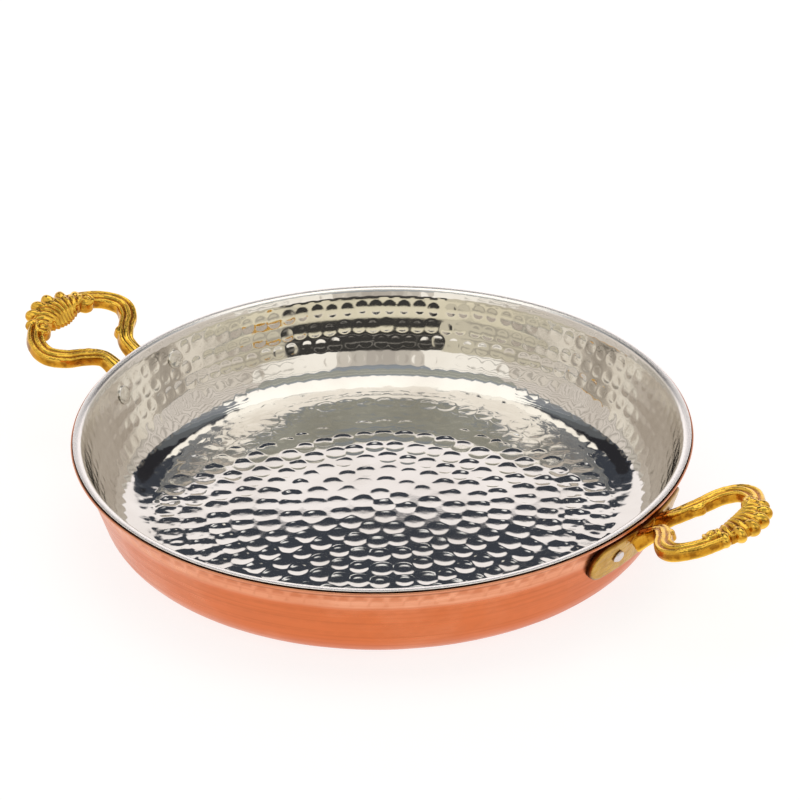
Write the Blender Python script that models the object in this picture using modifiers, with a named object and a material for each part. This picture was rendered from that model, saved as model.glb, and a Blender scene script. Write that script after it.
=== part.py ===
"""Tinned copper pan with two cast brass scroll handles, in metres, +Z up.

The pan stands on its flat base with the middle of the base at the origin, and its handles
lie along X. Each handle is one casting: a curved flange, two necks, a fluted loop that ends
in two scrolls, and a shell of gadroons between them. Two rivets hold it to the wall.
"""

import math

import bmesh
import bpy
from mathutils import Matrix, Vector

# Copper body
RIM_RADIUS = 0.130
PAN_HEIGHT = 0.041
COPPER_THICKNESS = 0.0015
WALL_LEAN = math.radians(18.0)
HEEL_RADIUS = 0.017
LIP_REACH = 0.0026
LIP_UNDERCUT_RADIUS = 0.0006

# Tin coat
LINING_THICKNESS = 0.0004
LINING_EDGE_STEP = 0.0004

# Fit of the pieces
SEAT_GAP = 0.0003
HOLE_CLEARANCE = 0.0003
CUT_OVERRUN = 0.004

# Riveting flange of a handle
FLANGE_THICKNESS = 0.0026
FLANGE_HALF_LENGTH = 0.0345
FLANGE_HEIGHT = 0.0175
FLANGE_TOP_DROP = 0.0040
FLANGE_WAIST_DIP = 0.0018
FLANGE_EDGE_RADIUS = 0.0006

# Rivets, and their place on the flange as shares of its half length and its height
SHANK_RADIUS = 0.0021
HEAD_RADIUS = 0.0040
HEAD_THICKNESS = 0.0009
TAIL_RADIUS = 0.0027
TAIL_THICKNESS = 0.0014
RIVET_SIDE_SHARE = 0.57
RIVET_DROP_SHARE = 0.41
# Outlines of the button outside and of the head inside, as shares of radius and thickness
TAIL_SHARES = ((0.00, 1.00), (0.55, 0.88), (0.88, 0.58), (1.00, 0.20), (1.00, 0.00))
HEAD_SHARES = ((1.00, 0.00), (1.00, 0.45), (0.90, 0.88), (0.70, 1.00), (0.00, 1.00))

# Loop of a handle
LOOP_TILT = math.radians(15.0)
LOOP_REACH = 0.0462
LOOP_HALF_WIDTH = 0.0270
ROOT_DROP_SHARE = 0.366
NECK_FALL = 0.0057
BAR_HALF_WIDTH = 0.0035
BAR_HEIGHT = 0.0058
FLUTE_DEPTH = 0.0006
SHOULDER_RADIUS = 0.0045
SHOULDER_HEIGHT = 0.0052

# Path of one half of the loop from its root to its middle, as shares of the reach, the half
# width and the fall of the neck below the loop's plane
HALF_LOOP_SHARES = (
    (-0.025, 0.300, 1.000),
    (0.130, 0.280, 0.500),
    (0.260, 0.335, 0.160),
    (0.378, 0.590, 0.050),
    (0.461, 0.835, 0.000),
    (0.605, 1.000, 0.000),
    (0.774, 0.907, 0.000),
    (0.897, 0.667, 0.000),
    (0.966, 0.370, 0.000),
    (1.000, 0.000, 0.000),
)
# Width and height of the bar and depth of its flutes at each of those points, as shares of
# the plain ones
BAR_WIDTH_SHARES = (1.25, 1.00, 0.95, 1.00, 1.12, 1.20, 1.12, 1.05, 1.10, 1.10)
BAR_HEIGHT_SHARES = (1.35, 1.10, 1.00, 1.00, 1.00, 1.00, 1.00, 1.00, 1.00, 1.00)
FLUTE_SHARES = (0.0, 0.0, 0.3, 0.8, 1.0, 1.0, 1.0, 1.0, 1.0, 1.0)
# Half of the bar's section from the middle of its underside to the middle of its top, as
# shares of half its width and half its height; the last column says how far the point dips
# with the flutes
BAR_SECTION_SHARES = (
    (0.00, -1.00, 0.0),
    (0.62, -1.00, 0.0),
    (1.00, -0.55, 0.0),
    (1.00, 0.40, 0.0),
    (0.80, 0.88, 0.0),
    (0.42, 0.95, 1.0),
    (0.00, 1.00, 0.0),
)
# Rounded shoulder where a neck meets the bar, placed by shares of the reach, the half width
# and the fall of the neck
SHOULDER_PLACE_SHARES = (0.350, 0.465, 0.120)
# Outline of a boss from the middle of its top to the middle of its foot, as shares of its
# radius and of half its height
BOSS_SHARES = ((0.00, 1.00), (0.66, 0.96), (0.93, 0.66), (1.00, 0.15), (0.94, -0.80), (0.0, -0.90))

# Shell of a handle
SHELL_ORIGIN_INSET = 0.0178
SHELL_INNER_RADIUS = 0.0112
SHELL_CROWN = 0.0044
SHELL_DEPTH = 0.0024
SKIRT_DEPTH = 0.0042
SKIRT_LOBE_DEPTH = 0.0006
RIDGE_HEIGHT = 0.0012
# Outline of the shell's top along a ray, as shares of its length and its crown
SHELL_TOP_SHARES = ((0.00, 0.45), (0.12, 0.80), (0.40, 1.00), (0.70, 0.85), (1.00, 0.35))
SKIRT_TOP_SHARE = 0.2

# Gadroons round the shell, smaller towards the ends of their row
GADROON_COUNT = 6
GADROON_PITCH = math.radians(16.6)
GADROON_RING_RADIUS = 0.0236
GADROON_LENGTH = 0.0088
GADROON_HEIGHT = 0.0074
GADROON_TAPER_SHARE = 0.12
GADROON_INSET_SHARE = 0.10

# Scrolls beside the shell
SCROLL_RADIUS = 0.0040
SCROLL_BOSS_HEIGHT = 0.0064
SCROLL_TURNS = 1.15
SCROLL_START = math.radians(162.0)
SCROLL_PLACE_SHARES = (0.868, 0.574, 0.000)
SCROLL_THINNING_SHARE = 0.35
# Radius of the raised coil's wire and of its eye, as shares of the scroll's radius
SCROLL_WIRE_SHARE = 0.175
SCROLL_EYE_SHARE = 0.325

# Smoothness
RIM_SEGMENTS = 60
HEEL_STEPS = 5
LIP_STEPS = 2
STATIONS_PER_SPAN = 3
ROUND_SEGMENTS = 16
FLANGE_COLUMNS = 6
FLANGE_END_STEPS = 4
FLANGE_END_SWEEP = math.radians(78.0)
BOSS_SEGMENTS = 12
EYE_RINGS = 4
GADROON_SEGMENTS = 8
GADROON_RINGS = 6
RIDGE_STATIONS = 4
SCROLL_TURN_POINTS = 14
EDGE_STEPS = 1
EDGE_ANGLE = math.radians(50.0)
SMOOTH_ANGLE = math.radians(35.0)
MERGE_DISTANCE = 0.00001
SLIVER_LENGTH = 0.000003

# Colour, metallic value and roughness of each metal
COPPER_LOOK = ((0.83, 0.36, 0.17, 1.0), 1.0, 0.30)
TIN_LOOK = ((0.72, 0.71, 0.67, 1.0), 1.0, 0.22)
BRASS_LOOK = ((0.83, 0.53, 0.10, 1.0), 1.0, 0.28)
RIVET_LOOK = ((0.74, 0.70, 0.68, 1.0), 1.0, 0.40)

# Worked out from the sizes above
SURFACE_OF_LINING = COPPER_THICKNESS + SEAT_GAP + LINING_THICKNESS
SURFACE_OF_FLANGE = -(SEAT_GAP + FLANGE_THICKNESS)
LIP_UNDERSIDE = PAN_HEIGHT - LINING_THICKNESS - SEAT_GAP - COPPER_THICKNESS
WALL_TOP_RADIUS = RIM_RADIUS - LIP_REACH
RIVET_DROP = FLANGE_TOP_DROP + FLANGE_HEIGHT * RIVET_DROP_SHARE
ROOT_DROP = FLANGE_TOP_DROP + FLANGE_HEIGHT * ROOT_DROP_SHARE


def clear_scene():
    for item in list(bpy.data.objects):
        bpy.data.objects.remove(item, do_unlink=True)


def make_collection(name, parent):
    collection = bpy.data.collections.new(name)
    parent.children.link(collection)
    return collection


def make_material(name, look):
    colour, metallic, roughness = look
    material = bpy.data.materials.new(name)
    material.use_nodes = True
    shader = material.node_tree.nodes["Principled BSDF"]
    shader.inputs["Base Color"].default_value = colour
    shader.inputs["Metallic"].default_value = metallic
    shader.inputs["Roughness"].default_value = roughness
    return material


def mesh_object(name, mesh, collection):
    item = bpy.data.objects.new(name, mesh)
    collection.objects.link(item)
    return item


def mesh_from_bmesh(name, shape):
    bmesh.ops.recalc_face_normals(shape, faces=shape.faces)
    mesh = bpy.data.meshes.new(name)
    shape.to_mesh(mesh)
    shape.free()
    return mesh


def arc(centre, radius, start, end, steps):
    """Points of an arc in the profile plane, both ends included."""
    points = []
    for step in range(steps + 1):
        angle = start + (end - start) * step / steps
        points.append((centre[0] + radius * math.cos(angle), centre[1] + radius * math.sin(angle)))
    return points


def wall_radius(height, inset):
    """Radius of the wall's face that lies inset behind its outer face."""
    below_lip = LIP_UNDERSIDE - height
    return WALL_TOP_RADIUS - below_lip * math.tan(WALL_LEAN) - inset / math.cos(WALL_LEAN)


def angle_round_wall(side):
    """Angle that a sideways distance along the top of a flange takes round the pan."""
    return side / wall_radius(PAN_HEIGHT - FLANGE_TOP_DROP, 0.0)


def lip_bend_centre():
    rise = LIP_UNDERCUT_RADIUS
    reach = LIP_UNDERCUT_RADIUS * (1.0 - math.sin(WALL_LEAN)) / math.cos(WALL_LEAN)
    return (WALL_TOP_RADIUS + reach, LIP_UNDERSIDE - rise)


def heel_centre():
    wall_foot = HEEL_RADIUS + (LIP_UNDERSIDE - HEEL_RADIUS) * math.sin(WALL_LEAN)
    return (WALL_TOP_RADIUS - wall_foot / math.cos(WALL_LEAN), HEEL_RADIUS)


def pan_face(inset):
    """Profile of the face that lies inset behind the outer one, from the lip to the axis."""
    upright = math.pi - WALL_LEAN
    bend = arc(lip_bend_centre(), LIP_UNDERCUT_RADIUS + inset, math.pi / 2, upright, LIP_STEPS)
    heel = arc(heel_centre(), HEEL_RADIUS - inset, -WALL_LEAN, -math.pi / 2, HEEL_STEPS)
    return bend + heel + [(0.0, inset)]


def turned_sheet(name, inner_inset, outer_inset, edge_radius, collection):
    """A pan-shaped sheet between two insets, with a half-round edge at edge_radius."""
    half = (inner_inset - outer_inset) / 2
    middle = LIP_UNDERSIDE + outer_inset + half
    edge = arc((edge_radius - half, middle), half, math.pi / 2, -math.pi / 2, 2 * LIP_STEPS)
    profile = pan_face(inner_inset)[::-1] + edge + pan_face(outer_inset)
    return turned_body(name, profile, RIM_SEGMENTS, collection)


def turned_body(name, profile, segments, collection):
    """Turn a profile whose two ends lie on the axis into a closed body."""
    mesh = bpy.data.meshes.new(name)
    edges = [(index, index + 1) for index in range(len(profile) - 1)]
    mesh.from_pydata([(radius, 0.0, height) for radius, height in profile], edges, [])
    item = mesh_object(name, mesh, collection)
    screw = item.modifiers.new("turn", 'SCREW')
    screw.steps = segments
    screw.render_steps = segments
    screw.use_merge_vertices = True
    screw.merge_threshold = MERGE_DISTANCE
    return apply_modifiers(item)


def apply_modifiers(item):
    """Turn an object's evaluated shape into its own plain mesh."""
    bpy.context.view_layer.update()
    graph = bpy.context.evaluated_depsgraph_get()
    mesh = bpy.data.meshes.new_from_object(item.evaluated_get(graph))
    item.modifiers.clear()
    item.data = mesh
    return item


def combine(item, tools, operation):
    """Apply one Boolean with all the objects of a collection and leave them as wires."""
    change = item.modifiers.new(operation.lower(), 'BOOLEAN')
    change.operation = operation
    change.solver = 'EXACT'
    change.operand_type = 'COLLECTION'
    change.collection = tools
    apply_modifiers(item)
    drop_slivers(item.data)
    for tool in tools.objects:
        tool.hide_render = True
        tool.display_type = 'WIRE'


def drop_slivers(mesh):
    """Close the hair-thin faces that a Boolean can leave."""
    shape = bmesh.new()
    shape.from_mesh(mesh)
    bmesh.ops.remove_doubles(shape, verts=shape.verts, dist=SLIVER_LENGTH)
    bmesh.ops.dissolve_degenerate(shape, dist=SLIVER_LENGTH, edges=shape.edges)
    shape.to_mesh(mesh)
    shape.free()


def wall_frame(angle, drop):
    """Place on the outer face of the wall: Z along its normal, X round the pan."""
    height = PAN_HEIGHT - drop
    radius = wall_radius(height, 0.0)
    outward = Vector((math.cos(WALL_LEAN) * math.cos(angle),
                      math.cos(WALL_LEAN) * math.sin(angle), -math.sin(WALL_LEAN)))
    around = Vector((-math.sin(angle), math.cos(angle), 0.0))
    upward = outward.cross(around)
    frame = Matrix((around, upward, outward)).transposed().to_4x4()
    frame.translation = (radius * math.cos(angle), radius * math.sin(angle), height)
    return frame


def rivet_profile():
    """Button at the top, shank, flat head at the bottom, along the wall's normal."""
    head_face = -(SURFACE_OF_LINING + SEAT_GAP)
    tail_face = SEAT_GAP - SURFACE_OF_FLANGE
    tail = [(TAIL_RADIUS * out, tail_face + TAIL_THICKNESS * up) for out, up in TAIL_SHARES]
    shank = [(SHANK_RADIUS, tail_face), (SHANK_RADIUS, head_face)]
    head = [(HEAD_RADIUS * out, head_face - HEAD_THICKNESS * down) for out, down in HEAD_SHARES]
    return tail + shank + head


def rivet_swing(hand):
    """Angle from the middle of a flange to one of its rivets."""
    return hand * angle_round_wall(FLANGE_HALF_LENGTH * RIVET_SIDE_SHARE)


def make_rivet(name, angle, collection):
    item = turned_body(name, rivet_profile(), ROUND_SEGMENTS, collection)
    item.matrix_world = wall_frame(angle, RIVET_DROP)
    return item


def rivet_drill(angle, cutters):
    """A cutter for one rivet hole through the coat, the wall and the flange."""
    shape = bmesh.new()
    inner = SURFACE_OF_LINING + CUT_OVERRUN
    outer = CUT_OVERRUN - SURFACE_OF_FLANGE
    radius = SHANK_RADIUS + HOLE_CLEARANCE
    bmesh.ops.create_cone(shape, cap_ends=True, segments=ROUND_SEGMENTS, radius1=radius,
                          radius2=radius, depth=inner + outer)
    half_facet = Matrix.Rotation(math.pi / ROUND_SEGMENTS, 3, 'Z')
    bmesh.ops.rotate(shape, verts=shape.verts, matrix=half_facet)
    bmesh.ops.translate(shape, verts=shape.verts, vec=(0.0, 0.0, (outer - inner) / 2))
    item = mesh_object("rivet_drill", mesh_from_bmesh("rivet_drill", shape), cutters)
    item.matrix_world = wall_frame(angle, RIVET_DROP)
    return item


def flange_columns():
    """Sideways place and half height of each column of the flange, with half-round ends."""
    end_radius = FLANGE_HEIGHT / 2
    straight = FLANGE_HALF_LENGTH - end_radius
    columns = []
    for step in range(FLANGE_COLUMNS + 1):
        columns.append((straight * step / FLANGE_COLUMNS, end_radius))
    for step in range(1, FLANGE_END_STEPS + 1):
        angle = FLANGE_END_SWEEP * step / FLANGE_END_STEPS
        columns.append((straight + end_radius * math.sin(angle), end_radius * math.cos(angle)))
    mirrored = [(-side, half) for side, half in columns[:0:-1]]
    return mirrored + columns


def make_flange(collection):
    """A strip laid on the wall, thickened outwards and eased along its edges."""
    shape = bmesh.new()
    columns = []
    middle = FLANGE_TOP_DROP + FLANGE_HEIGHT / 2
    for side, half in flange_columns():
        waist = max(0.0, math.cos(math.pi * side / FLANGE_HALF_LENGTH)) ** 2
        angle = angle_round_wall(side)
        column = []
        for drop in (middle - half + FLANGE_WAIST_DIP * waist, middle + half):
            radius = wall_radius(PAN_HEIGHT - drop, -SEAT_GAP)
            place = (radius * math.cos(angle), radius * math.sin(angle), PAN_HEIGHT - drop)
            column.append(shape.verts.new(place))
        columns.append(column)
    for left, right in zip(columns, columns[1:]):
        shape.faces.new((left[0], left[1], right[1], right[0]))
    item = mesh_object("flange", mesh_from_bmesh("flange", shape), collection)
    thicken = item.modifiers.new("thickness", 'SOLIDIFY')
    thicken.thickness = FLANGE_THICKNESS
    thicken.offset = 1.0
    ease = item.modifiers.new("eased_edges", 'BEVEL')
    ease.width = FLANGE_EDGE_RADIUS
    ease.segments = EDGE_STEPS
    ease.limit_method = 'ANGLE'
    ease.angle_limit = EDGE_ANGLE
    return apply_modifiers(item)


def loop_frame():
    """Plane of the loop: X outwards along it, Y sideways, Z square to it."""
    height = PAN_HEIGHT - ROOT_DROP + NECK_FALL / math.cos(LOOP_TILT)
    radius = wall_radius(PAN_HEIGHT - ROOT_DROP, SURFACE_OF_FLANGE)
    return Matrix.Translation((radius, 0.0, height)) @ Matrix.Rotation(-LOOP_TILT, 4, 'Y')


def smooth_values(values, parts):
    """Catmull-Rom points through a list of tuples, with equal parts to each span."""
    padded = [values[0]] + list(values) + [values[-1]]
    smooth = []
    for index in range(1, len(padded) - 2):
        before, start, end, after = padded[index - 1:index + 3]
        for part in range(parts):
            t = part / parts
            smooth.append(tuple(
                0.5 * (2 * b + (c - a) * t + (2 * a - 5 * b + 4 * c - d) * t ** 2
                       + (3 * b - a - 3 * c + d) * t ** 3)
                for a, b, c, d in zip(before, start, end, after)))
    smooth.append(tuple(values[-1]))
    return smooth


def loop_stations():
    """Place, width, height and flute depth of the bar along the whole loop."""
    half = []
    sections = zip(HALF_LOOP_SHARES, BAR_WIDTH_SHARES, BAR_HEIGHT_SHARES, FLUTE_SHARES)
    for (out, aside, fall), wide, high, flute in sections:
        half.append((LOOP_REACH * out, LOOP_HALF_WIDTH * aside, -NECK_FALL * fall,
                     BAR_HALF_WIDTH * wide, BAR_HEIGHT / 2 * high, FLUTE_DEPTH * flute))
    mirrored = [(row[0], -row[1]) + row[2:] for row in half[:-1]]
    return smooth_values(half + mirrored[::-1], STATIONS_PER_SPAN)


def loft(name, rings, collection):
    """Close a run of matching rings into one body with flat ends."""
    shape = bmesh.new()
    rows = [[shape.verts.new(point) for point in ring] for ring in rings]
    for first, second in zip(rows, rows[1:]):
        for index in range(len(first)):
            following = (index + 1) % len(first)
            shape.faces.new((first[index], first[following], second[following], second[index]))
    shape.faces.new(rows[0])
    shape.faces.new(rows[-1])
    return mesh_object(name, mesh_from_bmesh(name, shape), collection)


def bar_ring(place, side, up, half_width, half_height, flute):
    """The bar's section at one station."""
    half = [(half_width * x, half_height * y - flute * dip) for x, y, dip in BAR_SECTION_SHARES]
    outline = half + [(-x, y) for x, y in half[-2:0:-1]]
    return [place + side * x + up * y for x, y in outline]


def make_loop(collection):
    """The fluted bar from one root round to the other."""
    stations = loop_stations()
    places = [Vector(row[:3]) for row in stations]
    rings = []
    for index, row in enumerate(stations):
        ahead = places[min(index + 1, len(places) - 1)]
        behind = places[max(index - 1, 0)]
        along = (ahead - behind).normalized()
        side = along.cross(Vector((0.0, 0.0, 1.0))).normalized()
        up = side.cross(along)
        rings.append(bar_ring(places[index], side, up, row[3], row[4], row[5]))
    return loft("loop", rings, collection)


def fan_origin():
    return Vector((LOOP_REACH - SHELL_ORIGIN_INSET, 0.0, 0.0))


def shell_ring(angle, half_span):
    """Section of the shell along one ray from the origin of its fan."""
    ray = Vector((math.cos(angle), math.sin(angle), 0.0))
    up = Vector((0.0, 0.0, 1.0))
    tip = SHELL_INNER_RADIUS / math.cos(angle)
    lobe = SKIRT_LOBE_DEPTH * (1.0 - abs(math.cos(3 * math.pi * angle / (2 * half_span))))
    skirt = SKIRT_DEPTH * (1.0 - (angle / half_span) ** 2) - lobe
    foot = fan_origin() + ray * tip - Vector((skirt, 0.0, 0.0))
    dip = RIDGE_HEIGHT * (1.0 + math.cos(2 * math.pi * angle / GADROON_PITCH)) / 2
    ring = [foot - up * SHELL_DEPTH, foot - up * SHELL_DEPTH * SKIRT_TOP_SHARE]
    for out, high in SHELL_TOP_SHARES:
        along = tip + (GADROON_RING_RADIUS - tip) * out
        ring.append(fan_origin() + ray * along + up * (SHELL_CROWN - dip) * high)
    ring.append(fan_origin() + ray * GADROON_RING_RADIUS - up * SHELL_DEPTH)
    return ring


def make_shell(collection):
    """The fan of ridges between the scrolls."""
    half_span = GADROON_PITCH * GADROON_COUNT / 2
    steps = GADROON_COUNT * RIDGE_STATIONS
    rings = []
    for step in range(steps + 1):
        angle = half_span * (2.0 * step / steps - 1.0)
        rings.append(shell_ring(angle, half_span))
    return loft("shell", rings, collection)


def make_gadroon(index, collection):
    """One rounded lobe at the outer end of a ridge."""
    middle = (GADROON_COUNT - 1) / 2
    angle = GADROON_PITCH * (index - middle)
    size = 1.0 - GADROON_TAPER_SHARE * (abs(index - middle) / middle) ** 2
    half_width = GADROON_RING_RADIUS * math.sin(GADROON_PITCH / 2)
    out = GADROON_RING_RADIUS - GADROON_LENGTH * (GADROON_INSET_SHARE + (1.0 - size) / 2)
    shape = bmesh.new()
    bmesh.ops.create_uvsphere(shape, u_segments=GADROON_SEGMENTS, v_segments=GADROON_RINGS, radius=1.0)
    scale = Matrix.Diagonal((GADROON_LENGTH / 2 * size, half_width, GADROON_HEIGHT / 2 * size, 1.0))
    turn = Matrix.Rotation(angle, 4, 'Z')
    place = Matrix.Translation(fan_origin()) @ turn @ Matrix.Translation((out, 0.0, 0.0))
    bmesh.ops.transform(shape, verts=shape.verts, matrix=place @ scale)
    return mesh_object("gadroon", mesh_from_bmesh("gadroon", shape), collection)


def loop_place(shares, hand):
    """A place on the loop from its shares of the reach, the half width and the neck's fall."""
    out, aside, fall = shares
    return Vector((LOOP_REACH * out, hand * LOOP_HALF_WIDTH * aside, -NECK_FALL * fall))


def make_boss(name, place, radius, height, collection):
    """A round boss on the bar, with an eased top."""
    profile = [(radius * out, height / 2 * up) for out, up in BOSS_SHARES]
    item = turned_body(name, profile, BOSS_SEGMENTS, collection)
    item.location = place
    return item


def scroll_top(radius):
    """Height of a scroll's rounded top at a distance from its middle."""
    for inner, outer in zip(BOSS_SHARES, BOSS_SHARES[1:]):
        start, end = inner[0] * SCROLL_RADIUS, outer[0] * SCROLL_RADIUS
        if radius <= end:
            share = (radius - start) / (end - start)
            return SCROLL_BOSS_HEIGHT / 2 * (inner[1] + (outer[1] - inner[1]) * share)
    raise ValueError("the coil is wider than its scroll")


def make_scroll_wire(hand, collection):
    """The raised coil, half sunk in the scroll's top and thinning towards its eye."""
    wire_radius = SCROLL_RADIUS * SCROLL_WIRE_SHARE
    eye_radius = SCROLL_RADIUS * SCROLL_EYE_SHARE
    count = int(SCROLL_TURNS * SCROLL_TURN_POINTS) + 1
    curve = bpy.data.curves.new("scroll_wire", 'CURVE')
    curve.dimensions = '3D'
    curve.bevel_depth = wire_radius
    curve.bevel_resolution = 1
    curve.use_fill_caps = True
    spline = curve.splines.new('POLY')
    spline.points.add(count - 1)
    centre = loop_place(SCROLL_PLACE_SHARES, hand)
    outer = SCROLL_RADIUS - wire_radius
    for index, point in enumerate(spline.points):
        share = index / (count - 1)
        radius = outer + (eye_radius - outer) * share
        angle = hand * (SCROLL_START - 2 * math.pi * SCROLL_TURNS * share)
        point.co = (centre.x + radius * math.cos(angle), centre.y + radius * math.sin(angle),
                    scroll_top(radius), 1.0)
        point.radius = 1.0 - SCROLL_THINNING_SHARE * share
    item = mesh_object("scroll_wire", curve, collection)
    return mesh_from_curve(item, collection)


def mesh_from_curve(item, collection):
    """Turn a capped curve into a closed mesh object in the same place."""
    bpy.context.view_layer.update()
    graph = bpy.context.evaluated_depsgraph_get()
    mesh = bpy.data.meshes.new_from_object(item.evaluated_get(graph))
    shape = bmesh.new()
    shape.from_mesh(mesh)
    bmesh.ops.remove_doubles(shape, verts=shape.verts, dist=MERGE_DISTANCE)
    shape.to_mesh(mesh)
    shape.free()
    solid = mesh_object(item.name + "_solid", mesh, collection)
    solid.matrix_world = item.matrix_world
    bpy.data.objects.remove(item, do_unlink=True)
    return solid


def make_scroll_eye(hand, collection):
    shape = bmesh.new()
    bmesh.ops.create_uvsphere(shape, u_segments=GADROON_SEGMENTS, v_segments=EYE_RINGS,
                              radius=SCROLL_RADIUS * SCROLL_EYE_SHARE)
    place = loop_place(SCROLL_PLACE_SHARES, hand) + Vector((0.0, 0.0, scroll_top(0.0)))
    bmesh.ops.translate(shape, verts=shape.verts, vec=place)
    return mesh_object("scroll_eye", mesh_from_bmesh("scroll_eye", shape), collection)


def wall_core(cutters):
    """A cutter for what lies behind the middle of the flange's thickness."""
    inset = SURFACE_OF_FLANGE + FLANGE_THICKNESS / 2
    top = PAN_HEIGHT + CUT_OVERRUN
    outer = [(wall_radius(top, inset), top), (wall_radius(0.0, inset), 0.0)]
    profile = [(0.0, top)] + outer + [(0.0, 0.0)]
    return turned_body("wall_core", profile, RIM_SEGMENTS, cutters)


def make_handle(name, collection, cutters):
    """One casting, made on the +X side."""
    handle = make_loop(collection)
    handle.name = name
    ornaments = make_collection("handle_ornaments", cutters)
    make_shell(ornaments)
    for index in range(GADROON_COUNT):
        make_gadroon(index, ornaments)
    for hand in (-1, 1):
        shoulder = loop_place(SHOULDER_PLACE_SHARES, hand)
        make_boss("shoulder", shoulder, SHOULDER_RADIUS, SHOULDER_HEIGHT, ornaments)
        scroll = loop_place(SCROLL_PLACE_SHARES, hand)
        make_boss("scroll_boss", scroll, SCROLL_RADIUS, SCROLL_BOSS_HEIGHT, ornaments)
        make_scroll_wire(hand, ornaments)
        make_scroll_eye(hand, ornaments)
    combine(handle, ornaments, 'UNION')
    handle.data.transform(loop_frame())
    core = make_collection("handle_core", cutters)
    wall_core(core)
    combine(handle, core, 'DIFFERENCE')
    flange = make_collection("handle_flange", cutters)
    make_flange(flange)
    combine(handle, flange, 'UNION')
    drills = make_collection("handle_drills", cutters)
    for hand in (-1, 1):
        rivet_drill(rivet_swing(hand), drills)
    combine(handle, drills, 'DIFFERENCE')
    return handle


def finish(item, material):
    item.data.materials.clear()
    item.data.materials.append(material)
    item.data.shade_smooth()
    item.data.set_sharp_from_angle(angle=SMOOTH_ANGLE)


def build():
    clear_scene()
    pan = make_collection("copper_pan", bpy.context.scene.collection)
    cutters = make_collection("cutters", bpy.context.scene.collection)
    wall_drills = make_collection("wall_drills", cutters)
    copper = make_material("copper", COPPER_LOOK)
    tin = make_material("tin", TIN_LOOK)
    brass = make_material("cast_brass", BRASS_LOOK)
    white_metal = make_material("rivet_metal", RIVET_LOOK)

    bowl = turned_sheet("copper_bowl", COPPER_THICKNESS, 0.0, RIM_RADIUS, pan)
    lining = turned_sheet("tin_lining", SURFACE_OF_LINING, COPPER_THICKNESS + SEAT_GAP,
                          RIM_RADIUS - LINING_EDGE_STEP, pan)
    for side, facing in (("right", 0.0), ("left", math.pi)):
        for place, hand in (("front", -1), ("back", 1)):
            angle = facing + rivet_swing(hand) * math.cos(facing)
            rivet = make_rivet("rivet_" + side + "_" + place, angle, pan)
            finish(rivet, white_metal)
            rivet_drill(angle, wall_drills)
    for sheet, metal in ((bowl, copper), (lining, tin)):
        combine(sheet, wall_drills, 'DIFFERENCE')
        finish(sheet, metal)

    right = make_handle("handle_right", pan, cutters)
    finish(right, brass)
    left = mesh_object("handle_left", right.data, pan)
    left.rotation_euler = (0.0, 0.0, math.pi)


build()
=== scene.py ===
"""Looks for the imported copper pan: hammered tin inside, copper outside, cast brass handles.

Laid out as an add-on and run as a script. Every operator makes one piece or one group of like
pieces in metres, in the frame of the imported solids, and the last one sets up the studio.
"""

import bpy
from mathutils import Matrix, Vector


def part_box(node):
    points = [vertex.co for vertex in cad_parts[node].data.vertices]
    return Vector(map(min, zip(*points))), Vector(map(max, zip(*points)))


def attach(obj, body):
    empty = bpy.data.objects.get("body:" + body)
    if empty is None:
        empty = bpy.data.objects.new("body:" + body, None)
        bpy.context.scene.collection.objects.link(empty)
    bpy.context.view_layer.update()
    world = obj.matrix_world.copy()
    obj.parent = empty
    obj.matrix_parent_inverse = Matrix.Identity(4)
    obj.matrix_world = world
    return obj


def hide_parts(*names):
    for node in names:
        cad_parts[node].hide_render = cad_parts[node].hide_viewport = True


bl_info = {
    "name": "Hammered Copper Pan",
    "version": (1, 0, 0),
    "blender": (4, 5, 0),
    "location": "3D View > Sidebar > Copper Pan",
    "description": "Dresses the packed pan with hammered metal, cast handles and a plain studio",
    "category": "Object",
}

from math import cos, dist, hypot, pi, radians, sin, sqrt, tan

import bmesh
import bpy
import numpy as np
from bpy.props import FloatProperty, FloatVectorProperty, IntProperty, PointerProperty
from mathutils import Matrix, Vector, noise

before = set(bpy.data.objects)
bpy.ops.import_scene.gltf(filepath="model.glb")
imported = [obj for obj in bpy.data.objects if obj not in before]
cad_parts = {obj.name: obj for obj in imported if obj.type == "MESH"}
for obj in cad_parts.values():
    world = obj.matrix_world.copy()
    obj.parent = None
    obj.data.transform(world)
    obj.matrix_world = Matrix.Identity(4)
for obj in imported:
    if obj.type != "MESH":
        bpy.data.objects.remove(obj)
RIM_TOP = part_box("tin_lining")[1].z
RIM_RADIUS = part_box("copper_bowl")[1].x


# ---- values that a user may change

def length(name, default, description):
    return FloatProperty(name=name, description=description, default=default, min=0.0,
                         subtype='DISTANCE', unit='LENGTH', precision=5)


def angle(name, degrees, description):
    return FloatProperty(name=name, description=description, default=radians(degrees),
                         subtype='ANGLE', unit='ROTATION')


def share(name, default, description):
    return FloatProperty(name=name, description=description, default=default, min=0.0, max=1.0,
                         subtype='FACTOR')


def amount(name, default, description):
    return FloatProperty(name=name, description=description, default=default)


def colour(name, default, description):
    return FloatVectorProperty(name=name, description=description, default=default, size=3,
                               min=0.0, max=1.0, subtype='COLOR')


def count(name, default, description):
    return IntProperty(name=name, description=description, default=default, min=0)


class PanShape(bpy.types.PropertyGroup):
    """Sizes of the turned sheets, the same as those of the solids."""

    rim_radius: length("Rim radius", RIM_RADIUS, "Outer radius of the copper lip")
    height: length("Height", RIM_TOP, "From the base to the top of the tinned lip")
    copper: length("Copper thickness", 0.0015, "Thickness of the copper sheet")
    coat: length("Coat thickness", 0.0004, "Thickness of the tin coat")
    seat: length("Seat gap", 0.0003, "Clearance between pieces that touch")
    lean: angle("Wall lean", 18.0, "How far the wall leans out")
    heel: length("Heel radius", 0.017, "Outer radius between wall and base")
    lip_reach: length("Lip reach", 0.0026, "How far the lip stands out over the wall")
    undercut: length("Undercut radius", 0.0006, "Inner radius of the bend under the lip")
    coat_step: length("Coat step", 0.0009, "How far the coat's edge stays behind the copper's")


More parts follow.
